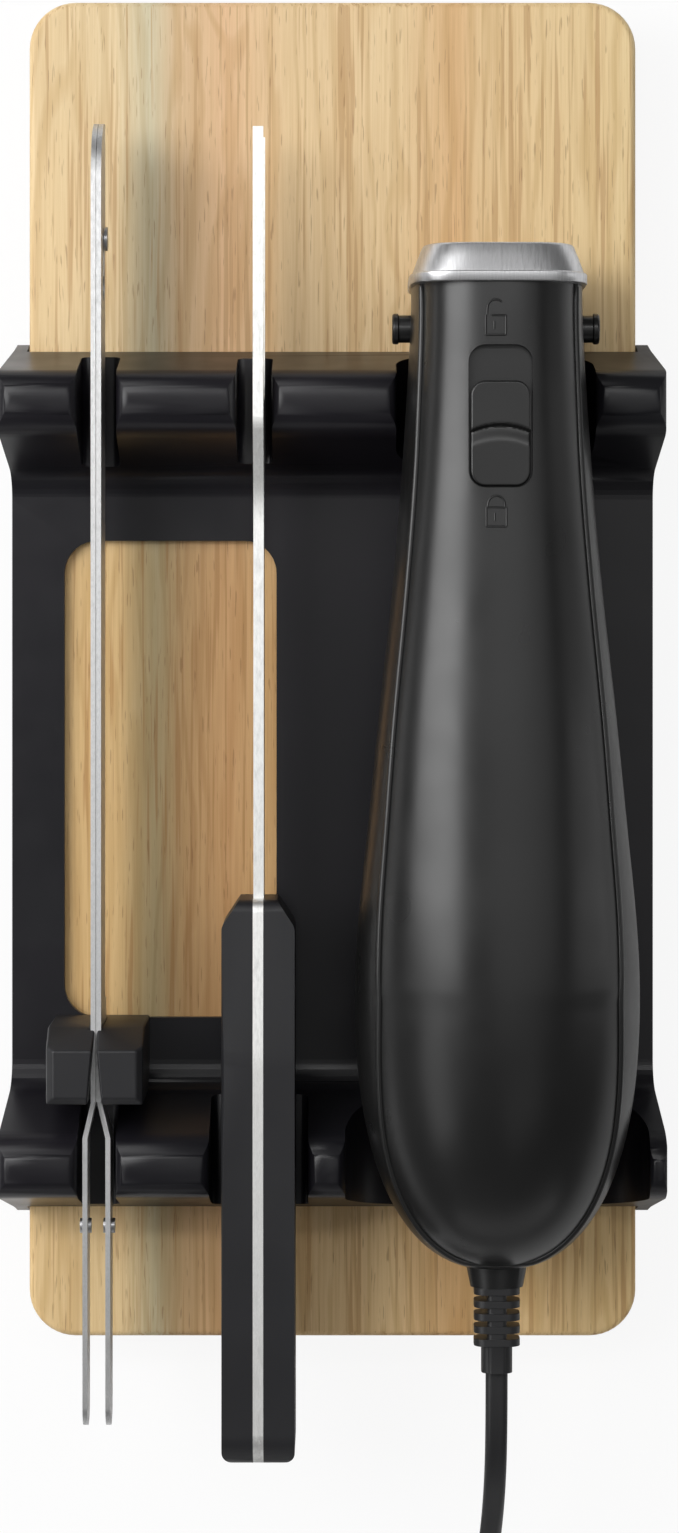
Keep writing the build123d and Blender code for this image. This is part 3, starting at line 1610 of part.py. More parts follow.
def cord_clamp():
    """Two-screw bridge that holds the cord inside the tail."""
    low = boss_z - clamp_height / 2
    bridge = block((knife_x - clamp_width / 2, knife_x + clamp_width / 2),
                   (clamp_y - clamp_length / 2, clamp_y + clamp_length / 2), (low, low + clamp_height))
    bridge = chamfer(bridge.edges().filter_by(Axis.Y).group_by(Axis.Z)[-1], clamp_height * clamp_bevel_share)
    return bridge - rod_y(cord_radius + link_clear, clamp_y - clamp_length, clamp_y + clamp_length,
                          knife_x, boss_z)


def strain_relief():
    """Flexible cord guard: ribs on a thin web, ending in a collar."""
    web = relief_width * relief_core_share
    rear_rib = boss_end - relief_ribs * relief_pitch
    web_face = RectangleRounded(web, relief_height * relief_web_share, web * relief_edge_share)
    guard = along_y(Pos(knife_x, boss_z) * web_face, relief_end, boss_end)
    rib_round = relief_height * relief_round_share
    rib_face = Pos(knife_x, boss_z) * RectangleRounded(relief_width, relief_height, rib_round)
    for index in range(relief_ribs):
        y = boss_end - index * relief_pitch
        guard += along_y(rib_face, y - relief_rib, y)
    collar_round = relief_collar_height * relief_round_share
    collar_face = RectangleRounded(relief_collar_width, relief_collar_height, collar_round)
    guard += along_y(Pos(knife_x, boss_z) * collar_face, relief_end, rear_rib + relief_pitch - relief_rib)
    return guard


def cord_route():
    """Points of the free cord from the strain relief down to the coil."""
    start = (knife_x, relief_end, boss_z)
    finish = (coil_x + coil_radius, coil_y, cord_low_z)
    return [
        start,
        (39.3, -169.0, 55.0),
        (39.1, -184.0, 49.5),
        (38.4, -198.5, 39.0),
        (37.2, -211.0, 25.5),
        (35.5, -222.5, 12.5),
        (33.2, -235.5, 4.0),
        (coil_x + coil_radius, -249.0, cord_low_z),
        finish,
    ]


def turn_radii(points):
    """Radius at each inner point: as large as its two runs allow."""
    radii = []
    for before, point, after in zip(points, points[1:], points[2:]):
        first = Vector(*point) - Vector(*before)
        second = Vector(*after) - Vector(*point)
        half_turn = math.radians(first.get_angle(second)) / 2
        radii.append(arc_share * min(first.length, second.length) / math.tan(half_turn))
    return radii


def tube(path):
    """Eight-sided tube of the cord's width along a path."""
    plane = Plane(origin=path @ 0, z_dir=path % 0)
    return sweep(plane * RegularPolygon(cord_radius, cord_sides), path=path)


def cord():
    """The free cord from the strain relief to the coil."""
    points = cord_route()
    radii = turn_radii(points)
    print("cord radii", [round(radius, 1) for radius in radii])
    path = FilletPolyline(*points, radius=radii)
    print("cord run length", round(path.length, 1))
    return tube(path), path.length


def biarc(start, start_dir, end, end_dir):
    """Two arcs that join two points with given directions."""
    start = Vector(*start)
    end = Vector(*end)
    span = end - start
    both = start_dir + end_dir
    square = 2 * (1 - start_dir.dot(end_dir))
    along = 2 * span.dot(both)
    reach = (-along + math.sqrt(along * along + 4 * square * span.dot(span))) / (2 * square)
    joint = (start + end + (start_dir - end_dir) * reach) / 2
    first = TangentArc(start, joint, tangent=start_dir)
    second = TangentArc(joint, end, tangent=first % 1)
    return [first, second]


def coil_stations():
    """Places at each half turn of the coil: in along the floor, up, and out again."""
    stations = []
    radius = coil_radius
    side = 1
    height = cord_low_z
    steps = [-loop_pitch / 2] * half_turns_in + [0] + [loop_pitch / 2] * half_turns_out
    stations.append((coil_x + side * radius, coil_y, height, side))
    for step in steps:
        radius += step
        side = -side
        if step == 0:
            height = cord_high_z
        stations.append((coil_x + side * radius, coil_y, height, side))
    return stations


def coil_path():
    """Wire of the coil as arcs of about a quarter turn."""
    stations = coil_stations()
    arcs = []
    for first, second in zip(stations, stations[1:]):
        start_dir = Vector(0, -first[3], 0)
        end_dir = Vector(0, -second[3], 0)
        arcs += biarc(first[:3], start_dir, second[:3], end_dir)
    return arcs


def cord_coil():
    """The put-away length of cord, wound in two layers as one tube."""
    arcs = coil_path()
    path = Wire([arc.edge() for arc in arcs])
    samples = []
    total = 0
    for arc in arcs:
        count = max(int(arc.length / (cord_radius / 2)), 2)
        for index in range(count):
            samples.append((total + arc.length * index / count, arc @ (index / count)))
        total += arc.length
    least = min((a[1] - b[1]).length for a in samples for b in samples
                if b[0] - a[0] > loop_pitch * 3)
    print("coil length", round(total, 1), "least gap to itself", round(least - cord_width, 2))
    return tube(path), total


def tail_points():
    """Route of the short end from the coil to the plug."""
    last = coil_stations()[-1]
    points = [Vector(*last[:3])]
    heading = 0
    points.append(points[-1] + Vector(0, -tail_run, 0))
    for swing in tail_swings_deg:
        heading += swing
        turn = math.radians(heading)
        points.append(points[-1] + Vector(math.sin(turn), -math.cos(turn), 0) * tail_run)
    return points, heading


def cord_end():
    """The short end from the coil to the plug."""
    points = tail_points()[0]
    route = [tuple(point) for point in points]
    radii = turn_radii(route)
    print("cord end radii", [round(radius, 1) for radius in radii])
    path = FilletPolyline(*route, radius=radii)
    return tube(path), path.length


def plug_place():
    """Frame at the plug's back, its Y pointing back along the cord."""
    points, heading = tail_points()
    return Pos(*tuple(points[-1])) * Rot(Z=heading)


def plug_body():
    """Moulded two-pin plug with a flexible neck."""
    neck = loft([Plane.XZ * Circle(plug_neck_width / 2 * plug_neck_share),
                 Plane.XZ.offset(plug_neck_length) * Circle(plug_neck_width / 2)])
    half = cord_high_z
    body = Pos(0, -plug_neck_length - plug_length / 2, 0) * Box(plug_width, plug_length, 2 * half)
    body = fillet(body.edges().filter_by(Axis.Y), plug_round)
    body = chamfer(body.edges().group_by(Axis.Y)[-1], plug_round / 2)
    plug = neck + body
    for side in (-1, 1):
        plug -= prong(side)
    return plug_place() * plug


def prong(side):
    """One flat prong in the plug's own frame."""
    face = -plug_neck_length - plug_length
    blade_length = prong_plug_length + prong_plug_root
    piece = Pos(side * prong_plug_pitch / 2, face + prong_plug_root - blade_length / 2, 0)
    piece = piece * Box(prong_plug_thick, blade_length, prong_plug_width)
    piece = chamfer(piece.edges().filter_by(Axis.X).group_by(Axis.Y)[0], prong_plug_thick * prong_bevel_share)
    return piece - Pos(side * prong_plug_pitch / 2, face - prong_plug_length * prong_hole_share, 0) * (
        Rot(Y=90) * Cylinder(prong_plug_thick, prong_plug_thick * 3))


def plug_prongs():
    """The two brass prongs."""
    return Compound(children=[plug_place() * prong(side) for side in (-1, 1)])


os.makedirs("parts", exist_ok=True)

save("storage_tray", storage_tray())
save("rubber_feet", rubber_feet())
save("cutting_board", cutting_board())

save("blade_left", blade_left())
save("blade_right", blade_right())
save("blade_rivet", blade_rivet())
save("collar_left", collar(-1))
save("collar_right", collar(1))
save("tang_pin_left", tang_pin(-1))
save("tang_pin_right", tang_pin(1))

save("fork_steel", fork_steel())
save("fork_scale_left", fork_scale(-1))
save("fork_scale_right", fork_scale(1))
save("fork_rivets", fork_rivets())

save("upper_housing", upper_housing())
save("lower_housing", lower_housing())
save("nose_cap", nose_cap())
save("housing_screws", housing_screws())

save("lock_slider", lock_slider())
save("lock_bar", lock_bar())
save("release_button_left", release_button(-1))
save("release_button_right", release_button(1))
save("release_springs", release_springs())
save("trigger", trigger())
save("trigger_pin", trigger_pin())
save("trigger_spring", trigger_spring())
save("switch_body", switch_body())
save("switch_plunger", switch_plunger())

save("gearbox_frame", gearbox_frame())
save("gearbox_screws", gearbox_screws())
save("worm_wheel", worm_wheel())
save("crank_pins", crank_pins())
save("wheel_shaft", wheel_shaft())
save("drive_slider_left", drive_slider(-1))
save("drive_slider_right", drive_slider(1))
save("worm", worm())

save("armature_shaft", armature_shaft())
save("armature_core", armature_core())
save("commutator", commutator())
save("cooling_fan", cooling_fan())
save("motor_can", motor_can())
save("motor_end_cap", motor_end_cap())
save("front_bush", bush(motor_front - bush_length / 2))
save("rear_bush", bush(motor_front - motor_length - end_cap_length / 2))
save("carbon_brushes", carbon_brushes())
save("field_magnets", field_magnets())

save("rectifier_board", rectifier_board())
save("cord_clamp", cord_clamp())
save("strain_relief", strain_relief())

cord_tube, cord_run = cord()
coil_tube, coil_run = cord_coil()
end_tube, end_run = cord_end()
face_area = RegularPolygon(cord_radius, cord_sides).area
for name, solid, run in (("cord", cord_tube, cord_run), ("cord_coil", coil_tube, coil_run),
                         ("cord_end", end_tube, end_run)):
    print(name, "volume", round(solid.volume, 1), "section by length", round(face_area * run, 1))
    save(name, solid)
print("whole cord", round(cord_run + coil_run + end_run, 1))
save("plug_body", plug_body())
save("plug_prongs", plug_prongs())
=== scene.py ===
import json
import math

import bmesh
import bpy
from mathutils import Matrix, Vector


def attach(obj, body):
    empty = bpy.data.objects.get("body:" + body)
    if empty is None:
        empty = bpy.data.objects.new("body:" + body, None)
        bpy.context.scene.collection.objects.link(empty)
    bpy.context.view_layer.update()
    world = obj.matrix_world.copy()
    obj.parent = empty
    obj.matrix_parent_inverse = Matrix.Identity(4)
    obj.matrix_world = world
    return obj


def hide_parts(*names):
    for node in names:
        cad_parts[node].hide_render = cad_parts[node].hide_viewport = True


# Looks of the electric carving knife set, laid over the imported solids.
# Shapes are given in millimetres and turned to metres where a mesh is made.
# The camera, the lamps and the patterns' cells are in metres.

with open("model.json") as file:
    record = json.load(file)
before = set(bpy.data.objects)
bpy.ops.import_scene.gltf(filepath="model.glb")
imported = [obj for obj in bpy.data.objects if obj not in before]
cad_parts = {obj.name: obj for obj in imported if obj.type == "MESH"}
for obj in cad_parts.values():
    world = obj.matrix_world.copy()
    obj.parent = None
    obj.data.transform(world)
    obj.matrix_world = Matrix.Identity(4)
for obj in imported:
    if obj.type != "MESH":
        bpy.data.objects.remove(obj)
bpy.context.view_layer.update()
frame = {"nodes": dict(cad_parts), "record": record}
nodes = frame["nodes"]

MM = 0.001


# Camera

LENS_LENGTH, SENSOR_WIDTH = 92.8, 36.0
FRAME_SHIFT = -0.1086
NEAR_CLIP = 0.05
CAMERA_PLACE = (0.00173, 0.0296, 1.0)

camera_data = bpy.data.cameras.new("camera")
camera_data.lens = LENS_LENGTH
camera_data.sensor_width = SENSOR_WIDTH
camera_data.shift_y = FRAME_SHIFT
camera_data.clip_start = NEAR_CLIP
camera = bpy.data.objects.new("camera", camera_data)
camera.location = CAMERA_PLACE
bpy.context.scene.collection.objects.link(camera)
bpy.context.scene.camera = camera


# Material tools

class Finish:
    """A node material with its shader, and short ways to add to it."""

    def __init__(self, name, roughness, metallic=0.0, specular=0.5):
        self.material = bpy.data.materials.new(name)
        self.material.use_nodes = True
        self.tree = self.material.node_tree
        self.shader = self.tree.nodes["Principled BSDF"]
        self.shader.inputs["Roughness"].default_value = roughness
        self.shader.inputs["Metallic"].default_value = metallic
        self.shader.inputs["Specular IOR Level"].default_value = specular
        self.coordinates = self.tree.nodes.new("ShaderNodeTexCoord")

    def link(self, source, target):
        self.tree.links.new(source, target)

    def feed(self, value, target):
        """Link a socket to the input, or set the input to a number or a colour."""
        if isinstance(value, bpy.types.NodeSocket):
            self.link(value, target)
        else:
            target.default_value = (*value, 1) if isinstance(value, tuple) else value

    def mapped(self, scale, source=None):
        """Object coordinates, or a moved copy of them, scaled per axis, in cells per metre."""
        mapping = self.tree.nodes.new("ShaderNodeMapping")
        mapping.inputs["Scale"].default_value = scale
        self.link(source or self.coordinates.outputs["Object"], mapping.inputs["Vector"])
        return mapping.outputs["Vector"]

    def noise(self, vector, detail=3.0, roughness=0.55, distortion=0.0):
        texture = self.tree.nodes.new("ShaderNodeTexNoise")
        texture.inputs["Scale"].default_value = 1.0
        texture.inputs["Detail"].default_value = detail
        texture.inputs["Roughness"].default_value = roughness
        texture.inputs["Distortion"].default_value = distortion
        self.link(vector, texture.inputs["Vector"])
        return texture.outputs["Fac"]

    def ramp(self, factor, stops, interpolation="LINEAR"):
        node = self.tree.nodes.new("ShaderNodeValToRGB")
        node.color_ramp.interpolation = interpolation
        while len(node.color_ramp.elements) < len(stops):
            node.color_ramp.elements.new(0.5)
        for element, (position, color) in zip(node.color_ramp.elements, stops):
            element.position = position
            element.color = (*color, 1)
        self.link(factor, node.inputs["Fac"])
        return node.outputs["Color"]

    def mix(self, factor, first, second, blend="MIX"):
        node = self.tree.nodes.new("ShaderNodeMix")
        node.data_type = "RGBA"
        node.blend_type = blend
        self.feed(factor, node.inputs["Factor"])
        self.feed(first, node.inputs[6])
        self.feed(second, node.inputs[7])
        return node.outputs[2]

    def maths(self, operation, first, second=0.0, third=0.0):
        node = self.tree.nodes.new("ShaderNodeMath")
        node.operation = operation
        for value, target in zip((first, second, third), node.inputs):
            self.feed(value, target)
        return node.outputs[0]

    def axes(self):
        split = self.tree.nodes.new("ShaderNodeSeparateXYZ")
        self.link(self.coordinates.outputs["Object"], split.inputs[0])
        return split.outputs

    def color(self, source):
        self.feed(source, self.shader.inputs["Base Color"])

    def uneven_gloss(self, pattern, first, second):
        """Let the roughness follow a pattern between two stops of position and roughness."""
        stops = [(position, (roughness,) * 3) for position, roughness in (first, second)]
        self.link(self.ramp(pattern, stops), self.shader.inputs["Roughness"])

    def bump(self, height, strength, distance):
        node = self.tree.nodes.new("ShaderNodeBump")
        node.inputs["Strength"].default_value = strength
        node.inputs["Distance"].default_value = distance
        self.link(height, node.inputs["Height"])
        self.link(node.outputs["Normal"], self.shader.inputs["Normal"])


def moulded(name, dark, light, roughness, grain=3500.0, depth=0.00002, specular=0.5):
    """Moulded plastic or rubber: fine grain in the surface and a slight change of tone."""
    finish = Finish(name, roughness, specular=specular)
    tone = finish.noise(finish.mapped((18, 18, 18)), detail=2.0)
    finish.color(finish.ramp(tone, [(0.35, dark), (0.65, light)]))
    surface = finish.noise(finish.mapped((grain, grain, grain)), detail=1.0)
    finish.bump(surface, 0.25, depth)
    sheen = finish.noise(finish.mapped((60, 60, 60)), detail=2.0)
    finish.uneven_gloss(sheen, (0.3, roughness - 0.03), (0.7, roughness + 0.04))
    return finish.material


def ground_steel(name, color, roughness, stretch, depth=0.000006):
    """Metal with fine grinding lines; stretch gives their cells per metre on each axis."""
    finish = Finish(name, roughness, metallic=1.0)
    lines = finish.noise(finish.mapped(stretch), detail=4.0, roughness=0.7)
    darker = tuple(channel * 0.82 for channel in color)
    finish.color(finish.ramp(lines, [(0.3, darker), (0.6, color)]))
    finish.uneven_gloss(lines, (0.3, roughness * 1.25), (0.7, roughness * 0.8))
    finish.bump(lines, 0.3, depth)
    return finish.material


# Wood

PATTERN_WIDTH, PATTERN_LENGTH = 0.16, 0.36
STAVE_NUMBERS = [
    (0.0, (0.05,) * 3), (0.268, (0.9,) * 3), (0.497, (0.35,) * 3), (0.727, (0.62,) * 3),
]
STAVE_SHIFT = (0.4, 2.1, 0.7)
TONE_BANDS = [
    (0.03, (0.79, 0.60, 0.34)), (0.17, (0.80, 0.63, 0.38)), (0.225, (0.66, 0.60, 0.42)),
    (0.27, (0.70, 0.50, 0.29)), (0.34, (0.78, 0.52, 0.30)), (0.44, (0.80, 0.60, 0.35)),
    (0.60, (0.82, 0.62, 0.36)), (0.69, (0.74, 0.48, 0.24)), (0.73, (0.79, 0.58, 0.32)),
    (0.95, (0.84, 0.65, 0.36)),
]
BAND_SWAY = 0.05
RING_PHASE_PER_METRE, RING_WARP = 900.0, 46.0
RING_TONES = [(0.0, (0.86, 0.80, 0.70)), (0.45, (1.0, 1.0, 1.0)), (1.0, (1.0, 0.99, 0.97))]
FIBRE_TONES = [(0.3, (0.80, 0.72, 0.60)), (0.62, (1.0, 1.0, 1.0))]
VESSEL_EDGE = [(0.665, (0, 0, 0)), (0.745, (1, 1, 1))]
VESSEL_COLOR = (0.50, 0.29, 0.12)
PORE_EDGE = [(0.66, (0, 0, 0)), (0.72, (1, 1, 1))]
PORE_COLOR = (0.33, 0.17, 0.07)
# painted shade along the board, as multipliers of the wood's colour: darker under the tray and the
# tools
PAINTED_SHADE_ALONG_BOARD = [
    (0.05, (1.0, 0.96, 0.88)), (0.20, (1.0, 0.94, 0.84)), (0.30, (0.86, 0.75, 0.58)),
    (0.60, (0.86, 0.76, 0.60)), (0.74, (0.97, 0.95, 0.92)), (1.0, (1.0, 1.0, 1.0)),
]


def rubberwood():
    """Oiled rubberwood: glued staves, tone bands, growth lines, short dark pores and painted shade
    along the board.
    """
    finish = Finish("rubberwood", 0.48, specular=0.4)
    x, y, _ = finish.axes()
    across = finish.maths("MULTIPLY_ADD", x, 1 / PATTERN_WIDTH, 0.5)

    # each stave has its own number, which moves the grain inside it
    stave = finish.ramp(across, STAVE_NUMBERS, "CONSTANT")
    offset = finish.tree.nodes.new("ShaderNodeVectorMath")
    offset.operation = "MULTIPLY_ADD"
    offset.inputs[1].default_value = STAVE_SHIFT
    finish.link(stave, offset.inputs[0])
    finish.link(finish.coordinates.outputs["Object"], offset.inputs[2])
    place = offset.outputs[0]

    # broad bands of tone side by side, which sway a little along the board
    sway = finish.noise(finish.mapped((9, 3.0, 9), place), detail=2.0)
    centred = finish.maths("ADD", across, -BAND_SWAY / 2)
    bands = finish.ramp(finish.maths("MULTIPLY_ADD", sway, BAND_SWAY, centred), TONE_BANDS)

    # growth lines: wavy bands stretched along the grain
    warp = finish.noise(finish.mapped((38, 5.0, 38), place), detail=3.0, distortion=0.6)
    straight = finish.maths("MULTIPLY", x, RING_PHASE_PER_METRE)
    rings = finish.maths("SINE", finish.maths("MULTIPLY_ADD", warp, RING_WARP, straight))
    ring_tone = finish.ramp(finish.maths("MULTIPLY_ADD", rings, 0.5, 0.5), RING_TONES)
    toned = finish.mix(0.75, bands, ring_tone, "MULTIPLY")

    fibre = finish.noise(finish.mapped((1500, 26, 1500), place), detail=4.0, roughness=0.65)
    grained = finish.mix(0.55, toned, finish.ramp(fibre, FIBRE_TONES), "MULTIPLY")

    # long thin dark lines of the vessels, closer together in some places than in others
    vessel = finish.noise(finish.mapped((760, 15, 760), place), detail=2.0, roughness=0.6)
    crowd = finish.noise(finish.mapped((60, 8, 60), place), detail=1.0)
    line = finish.ramp(finish.maths("MULTIPLY_ADD", crowd, 0.22, vessel), VESSEL_EDGE)
    lined = finish.mix(finish.maths("MULTIPLY", line, 0.62), grained, VESSEL_COLOR)

    # pores: short dark dashes
    pore = finish.noise(finish.mapped((2100, 130, 2100), place), detail=1.0)
    dashes = finish.maths("MULTIPLY", finish.ramp(pore, PORE_EDGE), 0.5)
    pored = finish.mix(dashes, lined, PORE_COLOR)

    # painted shade: the board is darker where it lies under the tray and the tools
    along = finish.maths("MULTIPLY_ADD", y, 1 / PATTERN_LENGTH, 0.5)
    finish.color(finish.mix(1.0, pored, finish.ramp(along, PAINTED_SHADE_ALONG_BOARD), "MULTIPLY"))
    finish.bump(finish.maths("SUBTRACT", fibre, dashes), 0.25, 0.00005)
    return finish.material


# Finishes

TRAY_BLACK = moulded("tray_black_plastic", (0.007, 0.007, 0.009), (0.010, 0.009, 0.012),
                     0.31, 4200.0, specular=0.34)
HANDLE_BLACK = moulded("handle_black_plastic", (0.007, 0.007, 0.007), (0.009, 0.009, 0.009),
                       0.30, 6000.0, 0.000006)
SCALE_BLACK = moulded("scale_black_plastic", (0.013, 0.013, 0.015), (0.017, 0.017, 0.019),
                      0.42, 4200.0, specular=0.4)
FOOT_RUBBER = moulded("foot_rubber", (0.012, 0.012, 0.012), (0.02, 0.02, 0.02), 0.75)
CORD_RUBBER = moulded("cord_rubber", (0.010, 0.010, 0.011), (0.016, 0.016, 0.017), 0.38, 2600.0)
DARK_PLASTIC = moulded("dark_inner_plastic", (0.03, 0.03, 0.033), (0.045, 0.045, 0.048), 0.5)
PALE_PLASTIC = moulded("pale_inner_plastic", (0.62, 0.61, 0.56), (0.68, 0.67, 0.62), 0.5)
GEAR_PLASTIC = moulded("gear_plastic", (0.66, 0.63, 0.50), (0.74, 0.71, 0.59), 0.42)
CARBON = moulded("brush_carbon", (0.02, 0.02, 0.02), (0.04, 0.04, 0.04), 0.7)
CIRCUIT = moulded("circuit_board_green", (0.03, 0.10, 0.045), (0.04, 0.14, 0.06), 0.45)
BLADE_STEEL = ground_steel("ground_blade_steel", (0.66, 0.66, 0.66), 0.44,
                           (1200, 500, 1200), 0.000003)
PLAIN_STEEL = ground_steel("plain_steel", (0.55, 0.55, 0.56), 0.34, (400, 400, 400))
IRON = ground_steel("laminated_iron", (0.16, 0.16, 0.17), 0.5, (60, 2400, 60))
COPPER = ground_steel("commutator_copper", (0.72, 0.38, 0.22), 0.3, (700, 90, 700))
BRONZE = ground_steel("sintered_bronze", (0.50, 0.36, 0.19), 0.45, (1500, 1500, 1500))
BRASS = ground_steel("prong_brass", (0.74, 0.58, 0.30), 0.28, (500, 900, 60))
RIVET_METAL = ground_steel("rivet_metal", (0.6, 0.6, 0.61), 0.32, (900, 900, 900))
CAP_SILVER = ground_steel("cap_silver", (0.70, 0.70, 0.71), 0.36, (2400, 200, 200), 0.000002)
FORK_STEEL = ground_steel("satin_fork_steel", (0.93, 0.93, 0.91), 0.50,
                          (1200, 300, 1200), 0.000002)
WOOD = rubberwood()

NODE_FINISHES = {
    TRAY_BLACK: ["storage_tray"],
    FOOT_RUBBER: ["rubber_feet"],
    WOOD: ["cutting_board"],
    BLADE_STEEL: ["blade_left", "blade_right"],
    FORK_STEEL: ["fork_steel"],
    SCALE_BLACK: ["collar_left", "collar_right", "fork_scale_left", "fork_scale_right"],
    HANDLE_BLACK: ["upper_housing", "lower_housing", "lock_slider", "release_button_left",
                   "release_button_right"],
    CAP_SILVER: ["nose_cap"],
    PLAIN_STEEL: ["blade_rivet", "tang_pin_left", "tang_pin_right", "housing_screws",
                  "release_springs", "trigger_pin", "trigger_spring", "gearbox_screws",
                  "crank_pins", "wheel_shaft", "worm", "armature_shaft", "motor_can"],
    RIVET_METAL: ["fork_rivets"],
    DARK_PLASTIC: ["trigger", "switch_body"],
    PALE_PLASTIC: ["lock_bar", "switch_plunger", "gearbox_frame", "motor_end_cap",
                   "cooling_fan", "cord_clamp"],
    GEAR_PLASTIC: ["worm_wheel", "drive_slider_left", "drive_slider_right"],
    IRON: ["armature_core", "field_magnets"],
    COPPER: ["commutator"],
    BRONZE: ["front_bush", "rear_bush"],
    CARBON: ["carbon_brushes"],
    CIRCUIT: ["rectifier_board"],
    CORD_RUBBER: ["strain_relief", "cord", "cord_coil", "cord_end", "plug_body"],
    BRASS: ["plug_prongs"],
}

BODY_OF_NODE = {node: body for body, members in frame["record"]["behaviour"]["bodies"].items()
                for node in members}
FINISH_OF_NODE = {node: finish for finish, members in NODE_FINISHES.items() for node in members}


def paint(piece, finish):
    piece.data.materials.clear()
    piece.data.materials.append(finish)


for node_name, node_finish in FINISH_OF_NODE.items():
    paint(nodes[node_name], node_finish)


# Mesh tools

WELD_GAP = 0.002
SKIN_WELD_GAP = 0.004
FLAT_ANGLE = 0.5


def as_object(name, shape, finish, body, smooth_angle=35.0):
    """Turn a bmesh into a smooth-shaded piece that rides on a body."""
    mesh = bpy.data.meshes.new(name)
    shape.to_mesh(mesh)
    shape.free()
    mesh.shade_smooth()
    mesh.set_sharp_from_angle(angle=math.radians(smooth_angle))
    piece = bpy.data.objects.new(name, mesh)
    bpy.context.scene.collection.objects.link(piece)
    paint(piece, finish)
    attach(piece, body)
    return piece


def bevelled(piece, width, segments=2, angle=40.0):
    """Round a piece's sharp edges, and shade the rounds smoothly."""
    modifier = piece.modifiers.new("rounded edges", "BEVEL")
    modifier.width = width * MM
    modifier.segments = segments
    modifier.limit_method = "ANGLE"
    modifier.angle_limit = math.radians(angle)
    modifier.harden_normals = True
    modifier.use_clamp_overlap = True


def shell_thickness(piece, thickness):
    """Give a skin a wall inwards."""
    modifier = piece.modifiers.new("wall", "SOLIDIFY")
    modifier.thickness = thickness * MM
    modifier.offset = -1.0
    modifier.use_even_offset = True


def cut_through(piece, cutter_shape, name):
    """Take a slab out of a piece, and drop the slab."""
    mesh = bpy.data.meshes.new(name)
    cutter_shape.to_mesh(mesh)
    cutter_shape.free()
    cutter = bpy.data.objects.new(name, mesh)
    bpy.context.scene.collection.objects.link(cutter)
    modifier = piece.modifiers.new(name, "BOOLEAN")
    modifier.operation = "DIFFERENCE"
    modifier.solver = "EXACT"
    modifier.object = cutter
    graph = bpy.context.evaluated_depsgraph_get()
    finished = bpy.data.meshes.new_from_object(piece.evaluated_get(graph))
    piece.modifiers.clear()
    piece.data = finished
    bpy.data.objects.remove(cutter)


def welded(node):
    """A CAD node's mesh with its loose triangles joined."""
    shape = bmesh.new()
    shape.from_mesh(nodes[node].data)
    bmesh.ops.remove_doubles(shape, verts=shape.verts, dist=WELD_GAP * MM)
    return shape


def flats_joined(shape):
    """Join the triangles that lie in one plane."""
    bmesh.ops.dissolve_limit(shape, angle_limit=math.radians(FLAT_ANGLE), verts=shape.verts,
                             edges=shape.edges)
    return shape


def finished_copy(node, new_name, rounding):
    """A welded copy of a CAD node, with rounded edges if it has a radius, standing for the node."""
    piece = as_object(new_name, flats_joined(welded(node)), FINISH_OF_NODE[node],
                      BODY_OF_NODE[node])
    if rounding:
        bevelled(piece, rounding)
    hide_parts(node)


def skin(name, rows, columns, place, finish, body, smooth_angle=35.0):
    """A curved skin: place(along, around), both from 0 to 1, gives each point in millimetres."""
    shape = bmesh.new()
    bmesh.ops.create_grid(shape, x_segments=rows, y_segments=columns, size=0.5)
    for vertex in shape.verts:
        vertex.co = Vector(place(vertex.co.x + 0.5, vertex.co.y + 0.5)) * MM
    bmesh.ops.remove_doubles(shape, verts=shape.verts, dist=SKIN_WELD_GAP * MM)
    bmesh.ops.recalc_face_normals(shape, faces=shape.faces)
    return as_object(name, shape, finish, body, smooth_angle)


def add_spline(curve, points):
    """Add one smooth NURBS spline with these points as its control points."""
    spline = curve.splines.new("NURBS")
    spline.points.add(len(points) - 1)
    for point, target in zip(spline.points, points):
        point.co = (*(Vector(target) * MM), 1)
    spline.order_u = 3
    spline.use_endpoint_u = True


def tube(name, strokes, radius, body, finish):
    """Round lines through the given points, as one mesh."""
    curve = bpy.data.curves.new(name + "_line", "CURVE")
    curve.dimensions = "3D"
    curve.bevel_depth = radius * MM
    curve.bevel_resolution = 3
    curve.use_fill_caps = True
    curve.resolution_u = 4
    for stroke in strokes:
        add_spline(curve, stroke)
    line = bpy.data.objects.new(name + "_line", curve)
    shape = bmesh.new()
    shape.from_mesh(bpy.data.meshes.new_from_object(line))
    bpy.data.objects.remove(line)
    bmesh.ops.recalc_face_normals(shape, faces=shape.faces)
    return as_object(name, shape, finish, body, 60.0)


HALVINGS = 28


def halved(low, high, is_low):
    """Close in, by halving, on the place between low and high where is_low stops being true."""
    for _ in range(HALVINGS):
        middle = (low + high) / 2
        if is_low(middle):
            low = middle
        else:
            high = middle
    return low


# Power cord

# The route's points are those of the part's source, then the coil's turns, the
# same way round and as far apart, and the short end that runs to the plug.
CORD_WIDTH, CORD_THICK = 5.3, 2.9
COIL_X, COIL_Y = -8.5, -262.0
COIL_RADIUS = 40.5
LOOP_PITCH = 6.75
LOW_Z, HIGH_Z = 2.95, 9.7
HALF_TURN_POINTS = 9
HALF_TURN_STEPS = [-LOOP_PITCH / 2] * 6 + [0.0] + [LOOP_PITCH / 2] * 5

SECTION_POINTS = 24
CORE_SQUARENESS = 0.8
GROOVE_HEIGHT, GROOVE_SLOPE = 0.74, 2.2

cord_route = [
    (39.3, -154.8, 55.0), (39.3, -169.0, 55.0), (39.1, -184.0, 49.5), (38.4, -198.5, 39.0),
    (37.2, -211.0, 25.5), (35.5, -222.5, 12.5), (33.2, -235.5, 4.0), (32.0, -249.0, 2.95),
]
plug_run = [(28.63, -275.0, 9.7), (29.98, -287.93, 9.7), (34.85, -299.98, 9.7)]


